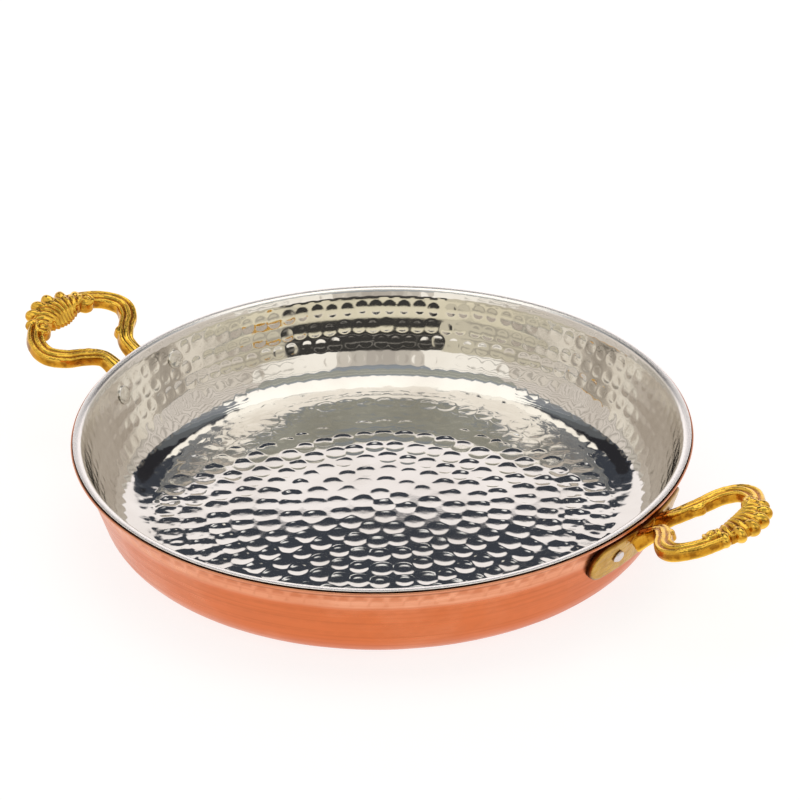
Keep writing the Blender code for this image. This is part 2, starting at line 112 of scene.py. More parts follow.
class HammerMarks(bpy.types.PropertyGroup):
    """Marks of the planishing hammer."""

    wall_width: length("Wall mark width", 0.0058, "Width of a mark on the wall")
    wall_depth: length("Wall mark height", 0.000100, "How far a wall mark stands out")
    wall_pitch: length("Wall mark pitch", 0.0066, "Distance from mark to mark along a row")
    floor_width: length("Floor mark width", 0.0095, "Width of a mark on the floor")
    floor_depth: length("Floor mark depth", 0.00020, "Depth of a mark on the floor")
    floor_pitch: length("Floor mark pitch", 0.0091, "Distance from mark to mark along a ring")
    floor_ring: length("Floor ring spacing", 0.0102, "Distance from ring to ring")
    crown: length("Floor crown", 0.0016, "Rise of the floor's middle over its edge")
    floor_reach: length("Hammered radius", 0.1030, "Radius that the floor's marks reach")
    outside_depth: length("Outside depth", 0.00020, "Depth of the soft marks on the copper")
    wander: share("Wander", 0.11, "How far a mark strays from its place, as a share of its width")
    seed: count("Seed", 7, "Start of the random draws")


class HandleShape(bpy.types.PropertyGroup):
    """Sizes of a cast handle, the same as those of the solids."""

    tilt: angle("Loop tilt", 15.0, "Rise of the loop above the level")
    reach: length("Loop reach", 0.0462, "From the flange to the middle of the far bar")
    half_width: length("Half width", 0.0270, "Half of the loop's width at the bar's middle")
    neck_fall: length("Neck fall", 0.0057, "How far a root lies below the loop's plane")
    bar_half_width: length("Bar half width", 0.0035, "Half of the plain bar's width")
    bar_height: length("Bar height", 0.0058, "Height of the plain bar")
    flute: length("Flute depth", 0.0009, "Depth of the two grooves on the bar")
    flange: length("Flange thickness", 0.0026, "Thickness of the riveted flange")
    flange_half: length("Flange half length", 0.0345, "Half of the flange's length")
    flange_height: length("Flange height", 0.0175, "Height of the flange")
    flange_drop: length("Flange drop", 0.0040, "From the top of the pan to the flange")
    voxel: length("Cast grain", 0.000315, "Size of the steps that blend the casting's forms")


class Finishes(bpy.types.PropertyGroup):
    """Colours and gloss of the metals."""

    tin: colour("Tin", (0.80, 0.775, 0.735), "Bright hot-tinned surface")
    # painted highlight: the top of the lip gets a near-white tin that stands for the white
    # reflection along the lip
    tin_lip_highlight: colour("Tin of the lip", (0.98, 0.95, 0.92), "Highlit tin on top of the lip")
    tin_dull: colour("Dull tin", (0.66, 0.62, 0.57), "Tin where it has dulled")
    copper: colour("Copper", (0.88, 0.40, 0.235), "Copper of the upper band")
    # also the painted shade of the copper: the darker lower wall, the upper edges of the soft marks
    # and the groove under the lip; the random patches and streaks use it too
    copper_deep_and_shade: colour("Deep copper", (0.72, 0.195, 0.066), "Copper of the lower wall")
    brass: colour("Brass", (1.00, 0.62, 0.090), "Bright cast brass")
    # also the painted shade of the brass: the recesses, the shaded flanks and the gap at the wall;
    # random tarnish and tone use it too
    brass_deep_and_shade: colour("Deep brass", (0.40, 0.145, 0.010), "Brass in the recesses")
    brass_dull: colour("Dull brass", (0.40, 0.205, 0.042), "Satin brass of the flange")
    # painted shade: the darker brass of the faces that stand across the loop
    brass_side_shade: colour("Brass of the sides", (0.57, 0.255, 0.018), "Brass on the shaded flanks")
    rivet: colour("Rivet", (0.72, 0.66, 0.66), "Pale rivet metal")
    rivet_head: colour("Rivet head", (0.80, 0.775, 0.725), "Tinned head of a rivet inside the pan")
    # painted shade round the foot of a rivet's button, also random darker tone
    rivet_deep_and_shade: colour("Rivet recess", (0.30, 0.25, 0.24), "Shade round a rivet's button")
    tin_gloss: share("Tin roughness", 0.05, "Roughness of the tin")
    copper_gloss: share("Copper roughness", 0.30, "Roughness of the copper")
    brass_gloss: share("Brass roughness", 0.13, "Roughness of the brass")


class Studio(bpy.types.PropertyGroup):
    """Camera, floor and light."""

    distance: length("Camera distance", 1.6721, "From the camera to its aim")
    elevation: angle("Camera elevation", 29.559, "Height of the camera above the level")
    swing: angle("Camera swing", 33.8, "Turn of the camera round the pan")
    roll: angle("Camera roll", -0.934, "Roll of the camera")
    aim_right: amount("Aim right", 0.007852, "Aim right of the pan's middle, in metres")
    aim_back: amount("Aim back", 0.023608, "Aim behind the pan's middle, in metres")
    lens: amount("Lens", 180.0, "Focal length in millimetres")
    floor: colour("Floor", (0.30, 0.30, 0.30), "Pale floor")
    floor_glow: amount("Floor glow", 0.81, "How bright the floor is by itself")


# ---- numbers shared by the pieces

# rows of hammer marks: distance down the wall and firmness
WALL_ROWS = ((-0.0008, 1.0), (0.0066, 1.0), (0.0150, 1.0), (0.0218, 1.1), (0.0292, 1.0),
             (0.0358, 0.8))
OUTSIDE_ROWS = ((0.0058, 1.0), (0.0092, 0.4), (0.0150, 0.45), (0.0212, 0.4), (0.0275, 0.35))
# how far the lining leans, in degrees, by the distance down the wall
LEAN_LINE = ((0.0, 38.0), (0.0010, 28.0), (0.0020, 17.5), (0.0032, 17.0), (0.0108, 17.0),
             (0.0120, 18.3), (0.0182, 18.5), (0.0194, 21.6), (0.0250, 22.0), (0.0266, 24.8),
             (0.0305, 29.5), (0.0325, 34.0), (0.0345, 40.0), (0.0372, 50.0), (0.0386, 56.0),
             (0.0408, 64.0), (0.0434, 72.0), (0.0476, 78.5), (0.0505, 84.0), (0.0530, 90.0))
FINE_WALL = 0.036
LINING_BACK = 0.00025
# spacing of the rings on the wall and on the floor, points of the first ring and their spacing
LINING_MESH = (0.00066, 0.00072, 1152, 0.00078)
BOWL_MESH = (0.0010, 0.0016, 640, 0.0012)
BEND_FADE = 0.0012
RIVET_SIDE_SHARE = 0.57
RIVET_DROP_SHARE = 0.41
ROOT_DROP_SHARE = 0.366


def lip_under(shape):
    """Height of the underside of the copper lip."""
    return shape.height - shape.coat - shape.seat - shape.copper


def wall_radius(shape, height, inset=0.0):
    """Radius at a height of the copper's outside, or of a face that lies inside it by the inset."""
    return (shape.rim_radius - shape.lip_reach - (lip_under(shape) - height) * tan(shape.lean)
            - inset / cos(shape.lean))


def line_distances(line):
    """Distance of each point of a line from its first point."""
    steps = np.hypot(np.diff(line[:, 0]), np.diff(line[:, 1]))
    return np.concatenate([[0.0], np.cumsum(steps)])


def sheet_line(shape, inset, edge_radius, step, base_step):
    """Points, normals towards the inside and distances along one face of a sheet.

    The face runs from the edge of the lip over the bend, down the wall, round the heel and
    along the base to the axis. Distances are counted from the lower end of the bend.
    """
    under = lip_under(shape)
    wall_top = shape.rim_radius - shape.lip_reach
    lean = shape.lean
    bend_centre = (wall_top + shape.undercut * (1 - sin(lean)) / cos(lean),
                   under - shape.undercut)
    foot = shape.heel + (under - shape.heel) * sin(lean)
    heel_centre = (wall_top - foot / cos(lean), shape.heel)
    bend = shape.undercut + inset
    heel = shape.heel - inset
    line = []

    def straight(start, end, normal, spacing):
        parts = max(1, round(dist(start, end) / spacing))
        for t in (part / parts for part in range(parts)):
            line.append((start[0] + (end[0] - start[0]) * t, start[1] + (end[1] - start[1]) * t)
                        + normal)

    def arc(centre, radius, start, end, inward, spacing):
        parts = max(2, round(abs(end - start) * radius / spacing))
        for part in range(parts):
            turn = start + (end - start) * part / parts
            x, y = cos(turn), sin(turn)
            line.append((centre[0] + radius * x, centre[1] + radius * y, inward * x, inward * y))

    straight((edge_radius, under + inset), (bend_centre[0], under + inset), (0.0, 1.0), step)
    arc(bend_centre, bend, pi / 2, pi - lean, 1.0, step)
    down = (cos(pi - lean), sin(pi - lean))
    wall_start = (bend_centre[0] + bend * down[0], bend_centre[1] + bend * down[1])
    wall_end = (heel_centre[0] + heel * cos(lean), heel_centre[1] - heel * sin(lean))
    wall_from = len(line)
    straight(wall_start, wall_end, down, step)
    arc(heel_centre, heel, -lean, -pi / 2, -1.0, base_step)
    straight((heel_centre[0], inset), (0.0, inset), (0.0, 1.0), base_step)
    table = np.array(line)
    along = line_distances(table)
    return table, along - along[wall_from]


def bowl_line(shape, inset, edge_radius, step, base_step):
    """The shown face of the lining, whose lower wall and heel are rounder than the sheet's.

    The lip and the bend come from the sheet. From there the lean grows step by step until the
    face is level with the floor, and the lengths are set so that it meets the floor's height.
    """
    table, along = sheet_line(shape, inset, edge_radius, step, base_step)
    first = int(np.argmin(np.abs(along)))
    top = table[first, :2]
    places, degrees = np.array(LEAN_LINE).T
    fine = np.linspace(0.0, places[-1], 4000)
    lean = np.interp(fine, places, np.radians(degrees))
    drop, inward = (np.concatenate([[0.0], np.cumsum(way(lean[:-1]) * (fine[1] - fine[0]))])
                    for way in (np.cos, np.sin))
    stretch = (top[1] - inset) / drop[-1]
    total = places[-1] * stretch
    rest = total - FINE_WALL
    near = np.linspace(0.0, 1.0, round(FINE_WALL / step), endpoint=False) * FINE_WALL
    low = FINE_WALL + np.linspace(0.0, 1.0, round(rest / base_step), endpoint=False) * rest
    spots = np.concatenate([near, low])
    source = fine * stretch
    radii = top[0] - np.interp(spots, source, inward) * stretch
    heights = top[1] - np.interp(spots, source, drop) * stretch
    leans = np.interp(spots, source, lean)
    wall = np.stack([radii, heights, -np.cos(leans), np.sin(leans)], axis=1)
    edge = top[0] - inward[-1] * stretch
    parts = round(edge / base_step)
    base = np.array([(edge * (1 - part / parts), inset, 0.0, 1.0) for part in range(parts + 1)])
    line = np.concatenate([table[:first], wall, base])
    distance = line_distances(line)
    return line, distance - distance[first], total


def ring_counts(radii, most, step):
    """Points on each ring: halved where the spacing falls under half of what it was."""
    counts, current = [], most
    for radius in radii:
        if current % 2 == 0 and current > 12 and 2 * pi * radius / current < step * 0.55:
            current //= 2
        counts.append(current)
    return counts


def turn_rings(line, counts):
    """Vertices of rings round the axis, as one array, and where each ring starts."""
    points, starts = [], [0]
    for (radius, height), number in zip(line[:, :2], counts):
        turn = np.arange(number) * (2 * pi / number)
        points.append(np.stack([radius * np.cos(turn), radius * np.sin(turn),
                                np.full(number, height)], axis=1))
        starts.append(starts[-1] + number)
    return np.concatenate(points), starts[:-1]


def ring_faces(starts, counts, flip):
    """Faces between neighbouring rings whose counts are equal or differ by a factor of two."""
    faces = []
    for first, second, many, few in zip(starts, starts[1:], counts, counts[1:]):
        if many == few:
            for point in range(many):
                after = (point + 1) % many
                faces.append((first + point, first + after, second + after, second + point))
            continue
        turned = many < few
        if turned:
            first, second, many, few = second, first, few, many
        for point in range(few):
            after = (point + 1) % few
            left, middle = first + 2 * point, first + 2 * point + 1
            right = first + (2 * point + 2) % many
            fan = [(left, middle, second + point), (middle, second + after, second + point),
                   (middle, right, second + after)]
            faces += [face[::-1] for face in fan] if turned else fan
    return [face[::-1] for face in faces] if flip else faces


def cap_faces(start, number, middle, flip):
    """Triangles from a ring to the point in its middle."""
    pairs = [(start + index, start + (index + 1) % number) for index in range(number)]
    return [(pair[::-1] if flip else pair) + (middle,) for pair in pairs]


def waves(points, scale, seed):
    """Smooth noise at each point."""
    shift = Vector((seed * 3.7, seed * 1.3, seed * 0.7))
    return np.array([noise.noise(Vector(point) * scale + shift) for point in points])


def press_marks(points, marks, power, firm):
    """Height of the surface at each point after the hammer marks, zero or less.

    The firm share of a mark's depth is gained close to its edge.
    """
    height = np.zeros(len(points))
    for x, y, z, radius, depth in marks:
        offset = points - (x, y, z)
        share_out = np.sqrt((offset ** 2).sum(axis=1)) / radius
        inside = share_out < 1.0
        if inside.any():
            spread = share_out[inside]
            hollow = -depth * (1.0 - (1.0 - firm) * spread ** power - firm * spread ** 7)
            height[inside] = np.minimum(height[inside], hollow)
    return height


def wall_marks(table, along, rows, marks, depth, rng):
    """Marks on the wall, in level rows that are staggered and a little uneven."""
    made = []
    for row, (distance, firmness) in enumerate(rows):
        radius = np.interp(distance, along, table[:, 0])
        number = round(2 * pi * radius / marks.wall_pitch)
        for index in range(number):
            stray = rng.normal(0.0, marks.wander * marks.wall_width / 2, 2)
            turn = 2 * pi * (index + 0.5 * (row % 2)) / number + stray[0] / radius
            down = distance + stray[1]
            out = np.interp(down, along, table[:, 0])
            up = np.interp(down, along, table[:, 1])
            size = rng.uniform(0.90, 1.08)
            made.append((out * cos(turn), out * sin(turn), up,
                         marks.wall_width / 2 * size,
                         depth * firmness * rng.uniform(0.85, 1.1)))
    return made


def floor_marks(level, marks, rng):
    """Marks on the floor, in staggered rings that overlap."""
    made = [(0.0, 0.0, level, marks.floor_width / 2, marks.floor_depth)]
    rings = int(marks.floor_reach / marks.floor_ring)
    for ring in range(1, rings + 1):
        radius = (ring - 0.09) * marks.floor_ring
        number = max(5, round(2 * pi * radius / marks.floor_pitch))
        start = rng.uniform(0.0, 1.0)
        firmness = np.interp(radius, (0.015, 0.040), (0.6, 1.0))
        for index in range(number):
            stray = rng.normal(0.0, marks.wander * marks.floor_width / 2, 2)
            turn = 2 * pi * (index + start) / number + stray[0] / radius
            out = radius + stray[1]
            made.append((out * cos(turn), out * sin(turn), level,
                         marks.floor_width / 2 * rng.uniform(0.88, 1.10),
                         marks.floor_depth * firmness * rng.uniform(0.62, 1.18)))
    return made


def put_object(name, data):
    """A new object in the scene."""
    item = bpy.data.objects.new(name, data)
    bpy.context.scene.collection.objects.link(item)
    return item


def put_bmesh(name, body):
    """A new object from a bmesh, which is freed."""
    mesh = bpy.data.meshes.new(name)
    body.to_mesh(mesh)
    body.free()
    return put_object(name, mesh)


def store_values(mesh, name, values, rest=0.0):
    """Keep one number at each vertex for the materials, and the rest past the last value."""
    every = np.full(len(mesh.vertices), rest, dtype=np.float32)
    every[:len(values)] = values
    mesh.attributes.new(name, 'FLOAT', 'POINT').data.foreach_set("value", every)


# ---- turned sheets

def lip_edge(shape, edge_radius, inset, half, facing):
    """The rounded edge of a lip, from the hidden face to the shown one."""
    middle = lip_under(shape) + inset + half
    edge = []
    for step in range(5, 0, -1):
        turn = pi / 2 - pi * step / 6
        edge.append((edge_radius - half + half * cos(turn),
                     middle + facing * half * sin(turn),
                     cos(turn), facing * sin(turn)))
    return np.array(edge)


def turn_sheet(edge, shown, along, most, step):
    """The edge and the shown face as rings: points, starts, counts, normals and distances."""
    table = np.concatenate([edge, shown])
    counts = ring_counts(table[:, 0], most, step)
    points, starts = turn_rings(table, counts)
    distance = np.repeat(np.concatenate([np.full(len(edge), along[0]), along]), counts)
    out, up = np.repeat(table[:, 2:], counts, axis=0).T
    turn = np.arctan2(points[:, 1], points[:, 0])
    normals = np.stack([out * np.cos(turn), out * np.sin(turn), up], axis=1)
    return points, starts, counts, normals, distance


def close_sheet(name, points, starts, counts, level, hidden, flip):
    """A piece from the shown face, closed in its middle and backed by the coarser hidden face."""
    back_counts = [counts[0] // 2, counts[0] // 4] + [counts[0] // 8] * (len(hidden) - 2)
    back, back_starts = turn_rings(hidden, back_counts)
    offset = len(points) + 1
    back_starts = [offset + start for start in back_starts]
    faces = ring_faces(starts, counts, flip)
    faces += cap_faces(starts[-1], counts[-1], offset - 1, flip)
    faces += ring_faces([starts[0]] + back_starts, [counts[0]] + back_counts, not flip)
    faces += cap_faces(back_starts[-1], back_counts[-1], offset + len(back), not flip)
    points = np.concatenate([points, [[0.0, 0.0, level]], back, [[0.0, 0.0, hidden[-1, 1]]]])
    mesh = bpy.data.meshes.new(name)
    mesh.from_pydata([tuple(point) for point in points], [], faces)
    mesh.validate()
    mesh.shade_smooth()
    return put_object(name, mesh)


def make_lining(shape, marks):
    """The tin lining with raised marks on its wall and hollow ones on its floor."""
    rng = np.random.default_rng(marks.seed)
    outer = shape.copper + shape.seat
    inner = outer + shape.coat
    half = (inner - outer) / 2
    edge_radius = shape.rim_radius - shape.coat_step
    edge = lip_edge(shape, edge_radius, outer, half, 1.0)
    shown, along, foot = bowl_line(shape, inner, edge_radius - half, *LINING_MESH[:2])
    points, starts, counts, normals, distance = turn_sheet(edge, shown, along, *LINING_MESH[2:])

    on_wall = distance < foot - 0.002
    on_floor = ~on_wall
    level = shown[-1, 1]
    height = np.zeros(len(points))
    wall = wall_marks(shown, along, WALL_ROWS, marks, marks.wall_depth, rng)
    height[on_wall] = -press_marks(points[on_wall], wall, 2.0, 0.35)
    floor = floor_marks(level, marks, rng)
    height[on_floor] = press_marks(points[on_floor], floor, 3.2, 0.0)
    height *= np.clip((distance + BEND_FADE) / BEND_FADE, 0.0, 1.0)
    swell = waves(points, 28.0, 1) * 0.00010 + waves(points, 90.0, 2) * 0.000025
    swell[distance < -0.001] *= 0.3
    uneven = np.interp(distance, (0.0385, 0.045, 0.070, 0.084), (0.0, 1.0, 1.0, 0.0))
    swell += (waves(points, 200.0, 8) * 0.00008 + waves(points, 430.0, 9) * 0.000025) * uneven
    out = np.minimum(np.hypot(points[:, 0], points[:, 1]) / marks.floor_reach, 1.0)
    points[on_floor, 2] += marks.crown * (1.0 - out[on_floor] ** 2) ** 2
    points = points + normals * (height + swell)[:, None]

    lip = 8
    chosen = np.unique(np.concatenate([np.arange(lip), np.arange(lip, len(shown), 5),
                                       [len(shown) - 1]]))
    hidden = shown[chosen].copy()
    hidden[:, :2] -= hidden[:, 2:] * np.where(chosen < lip, 2 * half, LINING_BACK)[:, None]
    piece = close_sheet("hammered_tin_lining", points, starts, counts, level, hidden, False)
    store_values(piece.data, "down_the_wall", distance, -0.01)
    return piece


def make_bowl(shape, marks):
    """The copper bowl, whose outside has a row of soft marks under the lip."""
    rng = np.random.default_rng(marks.seed + 1)
    half = shape.copper / 2
    edge = lip_edge(shape, shape.rim_radius, 0.0, half, -1.0)
    shown, along = sheet_line(shape, 0.0, shape.rim_radius - half, *BOWL_MESH[:2])
    points, starts, counts, normals, distance = turn_sheet(edge, shown, along, *BOWL_MESH[2:])
    normals[len(edge) * counts[0]:] *= -1.0

    soft = wall_marks(shown, along, OUTSIDE_ROWS, marks, marks.outside_depth, rng)
    height = press_marks(points, soft, 2.0, 0.0)
    fade = np.interp(distance, (-0.001, 0.001, 0.0072, 0.0095, 0.030, 0.05),
                     (0.0, 1.0, 1.0, 0.35, 0.25, 0.2))
    swell = waves(points, 60.0, 3) * 0.00007 + waves(points, 170.0, 4) * 0.00003
    collar = np.interp(distance, (0.0, 0.0070, 0.0088, 0.0105), (0.0, 0.00022, 0.00020, 0.0))
    points = points + normals * (height * fade + swell * (distance > 0.0) + collar)[:, None]
    points[:, 2] = np.maximum(points[:, 2], 0.0)
    # painted shade: the fall of the surface from a ring to the ring after next, kept for the copper
    # material, which darkens the upper edge of each soft mark
    dent_shade = np.zeros(len(points))
    for first, number, second, after, same in zip(starts, counts, starts[1:], starts[2:],
                                                  counts[2:]):
        if number == same:
            dent_shade[first:second] = height[first:second] - height[after:after + number]

    hidden, _ = sheet_line(shape, shape.copper * 0.8, shape.rim_radius - shape.copper * 0.4,
                           0.004, 0.008)
    piece = close_sheet("raised_copper_bowl", points, starts, counts, shown[-1, 1], hidden, True)
    store_values(piece.data, "dent_shade", np.clip(dent_shade / (marks.outside_depth / 2), -0.6, 1.0))
    store_values(piece.data, "down_the_wall", distance, 0.004)
    return piece


# ---- materials

def rgba(value):
    return (value[0], value[1], value[2], 1.0)


def darker(value, left):
    """The share of a colour that is left."""
    return Vector(value) * left


class Graph:
    """A small helper round a material's or world's node tree."""

    def __init__(self, tree):
        self.tree = tree

    def plug(self, socket, value):
        if isinstance(value, bpy.types.NodeSocket):
            self.tree.links.new(value, socket)
        else:
            socket.default_value = value

    def node(self, kind, links=None, **settings):
        made = self.tree.nodes.new(kind)
        for key, value in settings.items():
            setattr(made, key, value)
        for key, value in (links or {}).items():
            self.plug(made.inputs[key], value)
        return made

    def mix(self, factor, first, second):
        made = self.node('ShaderNodeMix', data_type='RGBA')
        sockets = {socket.identifier: socket for socket in made.inputs}
        self.plug(sockets["Factor_Float"], factor)
        for name, value in (("A_Color", first), ("B_Color", second)):
            linked = isinstance(value, bpy.types.NodeSocket)
            self.plug(sockets[name], value if linked else rgba(value))
        return next(socket for socket in made.outputs if socket.identifier == "Result_Color")

    def remap(self, value, from_low, from_high, to_low, to_high):
        made = self.node('ShaderNodeMapRange', {"Value": value, "From Min": from_low,
                         "From Max": from_high, "To Min": to_low, "To Max": to_high})
        return made.outputs["Result"]

    def work_out(self, operation, *values):
        made = self.node('ShaderNodeMath', dict(enumerate(values)), operation=operation)
        return made.outputs[0]

    def multiply(self, first, second):
        return self.work_out('MULTIPLY', first, second)

    def add(self, first, second):
        return self.work_out('ADD', first, second)


class Surface(Graph):
    """A new material with its shader and its object coordinates."""

    def __init__(self, name, metallic=1.0):
        self.material = bpy.data.materials.new(name)
        self.material.use_nodes = True
        super().__init__(self.material.node_tree)
        self.shader = self.tree.nodes["Principled BSDF"]
        self.shader.inputs["Metallic"].default_value = metallic
        self.place = self.node('ShaderNodeTexCoord').outputs["Object"]

    def noise(self, scale, detail, stretch=(1.0, 1.0, 1.0)):
        place = self.node('ShaderNodeMapping', {"Vector": self.place, "Scale": stretch})
        made = self.node('ShaderNodeTexNoise', {"Vector": place.outputs["Vector"],
                                                "Scale": scale, "Detail": detail})
        return made.outputs["Fac"]

    def value(self, name):
        return self.node('ShaderNodeAttribute', attribute_name=name).outputs["Fac"]

    def gloss(self, cloud, middle, low, high):
        """A roughness that wanders with a noise between two shares of its middle value."""
        return self.remap(cloud, 0.3, 0.7, middle * low, middle * high)

    def finish(self, base, rough):
        self.plug(self.shader.inputs["Base Color"], base)
        self.plug(self.shader.inputs["Roughness"], rough)
        return self.material

    def bump(self, height, strength, distance):
        made = self.node('ShaderNodeBump', {"Height": height, "Strength": strength,
                                            "Distance": distance})
        self.plug(self.shader.inputs["Normal"], made.outputs["Normal"])


def tin_finish(finish):
    tin = Surface("hot_tinned_copper")
    cloud = tin.noise(38.0, 3.0)
    base = tin.mix(tin.remap(cloud, 0.42, 0.70, 0.0, 0.55), finish.tin, finish.tin_dull)
    # painted highlight: the top of the lip is mixed to the near-white tin and made rougher
    lip = tin.remap(tin.value("down_the_wall"), -0.0014, -0.0008, 1.0, 0.0)
    base = tin.mix(lip, base, finish.tin_lip_highlight)
    tin.bump(tin.noise(900.0, 2.0), 0.12, 0.00004)
    return tin.finish(base, tin.add(tin.gloss(cloud, finish.tin_gloss, 0.75, 1.45),
                                    tin.multiply(lip, 0.20)))


def copper_finish(finish):
    copper = Surface("satin_copper")
    down = copper.value("down_the_wall")
    cloud = copper.noise(24.0, 4.0)
    lines = copper.noise(1.0, 3.0, (14.0, 14.0, 900.0))
    # painted shade: from about 8 mm under the lip the wall turns to the deep copper, standing for
    # the shaded floor that it reflects; the noise adds tone that differs at random
    depth = copper.add(copper.remap(down, 0.0078, 0.0100, 0.0, 0.85),
                       copper.remap(cloud, 0.35, 0.65, -0.20, 0.28))
    base = copper.mix(depth, finish.copper, finish.copper_deep_and_shade)
    # painted shade on the upper edges of the soft marks
    dent_shade = copper.multiply(copper.value("dent_shade"), copper.remap(down, 0.008, 0.014, 0.55, 0.34))
    patch = copper.remap(copper.noise(1.0, 2.0, (55.0, 55.0, 170.0)), 0.42, 0.66, 0.0, 0.30)
    streak = copper.remap(lines, 0.48, 0.70, 0.0, 0.42)
    # painted shade: a dark line in the groove under the lip, where the lip meets the wall
    groove_shade = copper.multiply(copper.remap(down, -0.0024, -0.0012, 0.0, 0.75),
                             copper.remap(down, 0.0012, 0.0024, 1.0, 0.0))
    for mask, left in ((dent_shade, 0.75), (patch, 0.85), (streak, 0.80), (groove_shade, 0.35)):
        base = copper.mix(mask, base, darker(finish.copper_deep_and_shade, left))
    copper.bump(lines, 0.25, 0.00006)
    return copper.finish(base, copper.add(copper.remap(lines, 0.3, 0.7, -0.05, 0.07),
                                          copper.gloss(cloud, finish.copper_gloss, 0.85, 1.15)))


def brass_finish(finish):
    brass = Surface("cast_brass")
    cloud = brass.noise(160.0, 4.0)
    # painted shade: recesses found from the bend of the surface turn to the deep brass; the noise
    # adds tone that differs at random
    recess = brass.add(brass.remap(cloud, 0.45, 0.72, 0.0, 0.50), brass.value("hollow"))
    base = brass.mix(recess, finish.brass, finish.brass_deep_and_shade)
    tarnish = brass.remap(brass.noise(240.0, 4.0), 0.46, 0.58, 0.0, 1.0)
    # painted shade: faces that stand across the loop's plane get the darker side brass, varied by
    # random tarnish
    side = brass.mix(tarnish, finish.brass_side_shade, darker(finish.brass_deep_and_shade, 0.70))
    shaded_flank = brass.value("shaded_flank")
    base = brass.mix(shaded_flank, base, side)
    satin = brass.value("satin")
    scratch = brass.remap(brass.noise(1.0, 3.0, (60.0, 60.0, 1400.0)), 0.40, 0.62, 0.0, 1.0)
    skin = brass.mix(scratch, finish.brass_dull, darker(finish.brass_dull, 0.62))
    base = brass.mix(satin, base, skin)
    # painted shadow: near-black brass where the flange lies close to the wall
    base = brass.mix(brass.value("gap_shadow"), base, darker(finish.brass_deep_and_shade, 0.12))
    rough = brass.add(brass.gloss(cloud, finish.brass_gloss, 0.7, 1.3),
                      brass.add(brass.multiply(satin, 0.22), brass.multiply(shaded_flank, 0.10)))
    grain = brass.add(brass.noise(1500.0, 3.0), brass.multiply(brass.noise(620.0, 2.0), 1.2))
    brass.bump(grain, 0.42, 0.00014)
    return brass.finish(base, rough)


def rivet_finish(finish):
    rivet = Surface("peened_rivet")
    cloud = rivet.noise(420.0, 4.0)
    # painted shade: a dark ring where the button meets the flange, plus random darker tone from the
    # noise
    foot_shade_and_tone = rivet.add(rivet.value("hollow"), rivet.remap(cloud, 0.5, 0.8, 0.0, 0.4))
    tinned = rivet.value("tinned")
    base = rivet.mix(tinned, rivet.mix(foot_shade_and_tone, finish.rivet, finish.rivet_deep_and_shade), finish.rivet_head)
    rivet.bump(cloud, 0.35, 0.0001)
    return rivet.finish(base, rivet.add(rivet.remap(cloud, 0.3, 0.7, 0.26, 0.46),
                                        rivet.multiply(tinned, -0.20)))


# ---- cast handle

# along half of the loop: out, aside and fall of the bar's middle, its width, height and flutes
HALF_LOOP = (
    (-0.025, 0.300, 1.000, 1.25, 1.35, 0.0),
    (0.130, 0.280, 0.500, 1.00, 1.10, 0.1),
    (0.260, 0.335, 0.160, 0.95, 1.00, 0.4),
    (0.378, 0.590, 0.050, 1.00, 1.00, 0.8),
    (0.461, 0.835, 0.000, 1.12, 1.00, 1.0),
    (0.605, 1.000, 0.000, 1.20, 1.00, 1.0),
    (0.774, 0.907, 0.000, 1.12, 1.00, 1.0),
    (0.897, 0.667, 0.000, 1.05, 1.00, 1.0),
    (0.966, 0.370, 0.000, 1.10, 1.00, 1.0),
    (1.000, 0.000, 0.000, 1.10, 1.00, 1.0),
)
# half of the bar's section: across, up and share of the flute's depth
BAR_SECTION = (
    (0.00, -1.00, 0.0),
    (0.60, -0.98, 0.0),
    (0.93, -0.80, 0.0),
    (1.00, -0.40, 0.0),
    (1.00, 0.10, 0.0),
    (0.97, 0.52, 0.0),
    (0.84, 0.84, 0.0),
    (0.66, 0.90, 0.1),
    (0.46, 0.93, 1.0),
    (0.30, 0.96, 0.75),
    (0.14, 1.00, 0.1),
    (0.00, 1.02, 0.0),
)
SHELL_INSET = 0.0178
SHELL_INNER = 0.0112
SHELL_RING = 0.0236
SHELL_CROWN = 0.0044
SHELL_DEPTH = 0.0024
SHELL_PROFILE = ((0.00, 0.42), (0.12, 0.78), (0.40, 1.00), (0.70, 0.86), (1.00, 0.35))
SHELL_RIDGES = 10
RIDGE_DEPTH = 0.0012
LOBE_DEPTH = 0.0007
SKIRT_DEPTH = 0.0029
GADROONS = 6
GADROON_PITCH = radians(16.6)
GADROON_LENGTH = 0.0088
GADROON_HEIGHT = 0.0074
GADROON_WIDTH_SHARE = 0.76
SCROLL_PLACE = (0.868, 0.574)
SCROLL_RADIUS = 0.0040
SCROLL_HEIGHT = 0.0064
COIL_START = radians(162.0)
COIL_TURNS = 1.2
COIL_STEPS = 60
COIL_WIRE = 0.00075
EYE_SIZE = (0.0012, 0.0012, 0.0011)
BOSS_LINE = ((0.00, 1.00), (0.66, 0.96), (0.93, 0.66), (1.00, 0.15), (0.94, -0.80), (0.0, -0.90))
NECK_BOSS = (0.0040, 0.0048)
FLANGE_EASE = 0.0007
FLANGE_WAIST = 0.0018


def smooth_values(values, parts):
    """Catmull-Rom points through a list of tuples, with equal parts to each span."""
    table = np.array([values[0]] + list(values) + [values[-1]], dtype=float)
    made = []
    for index in range(1, len(table) - 2):
        a, b, c, d = table[index - 1:index + 3]
        for part in range(parts):
            t = part / parts
            made.append(0.5 * (2 * b + (c - a) * t + (2 * a - 5 * b + 4 * c - d) * t ** 2
                               + (3 * b - a - 3 * c + d) * t ** 3))
    made.append(table[-1])
    return np.array(made)


def loft(shape, rings):
    """Add a closed body through matching rings to a bmesh."""
    rows = [[shape.verts.new(tuple(point)) for point in ring] for ring in rings]
    for first, second in zip(rows, rows[1:]):
        for index in range(len(first)):
            after = (index + 1) % len(first)
            shape.faces.new((first[index], first[after], second[after], second[index]))
    shape.faces.new(rows[0][::-1])
    shape.faces.new(rows[-1])


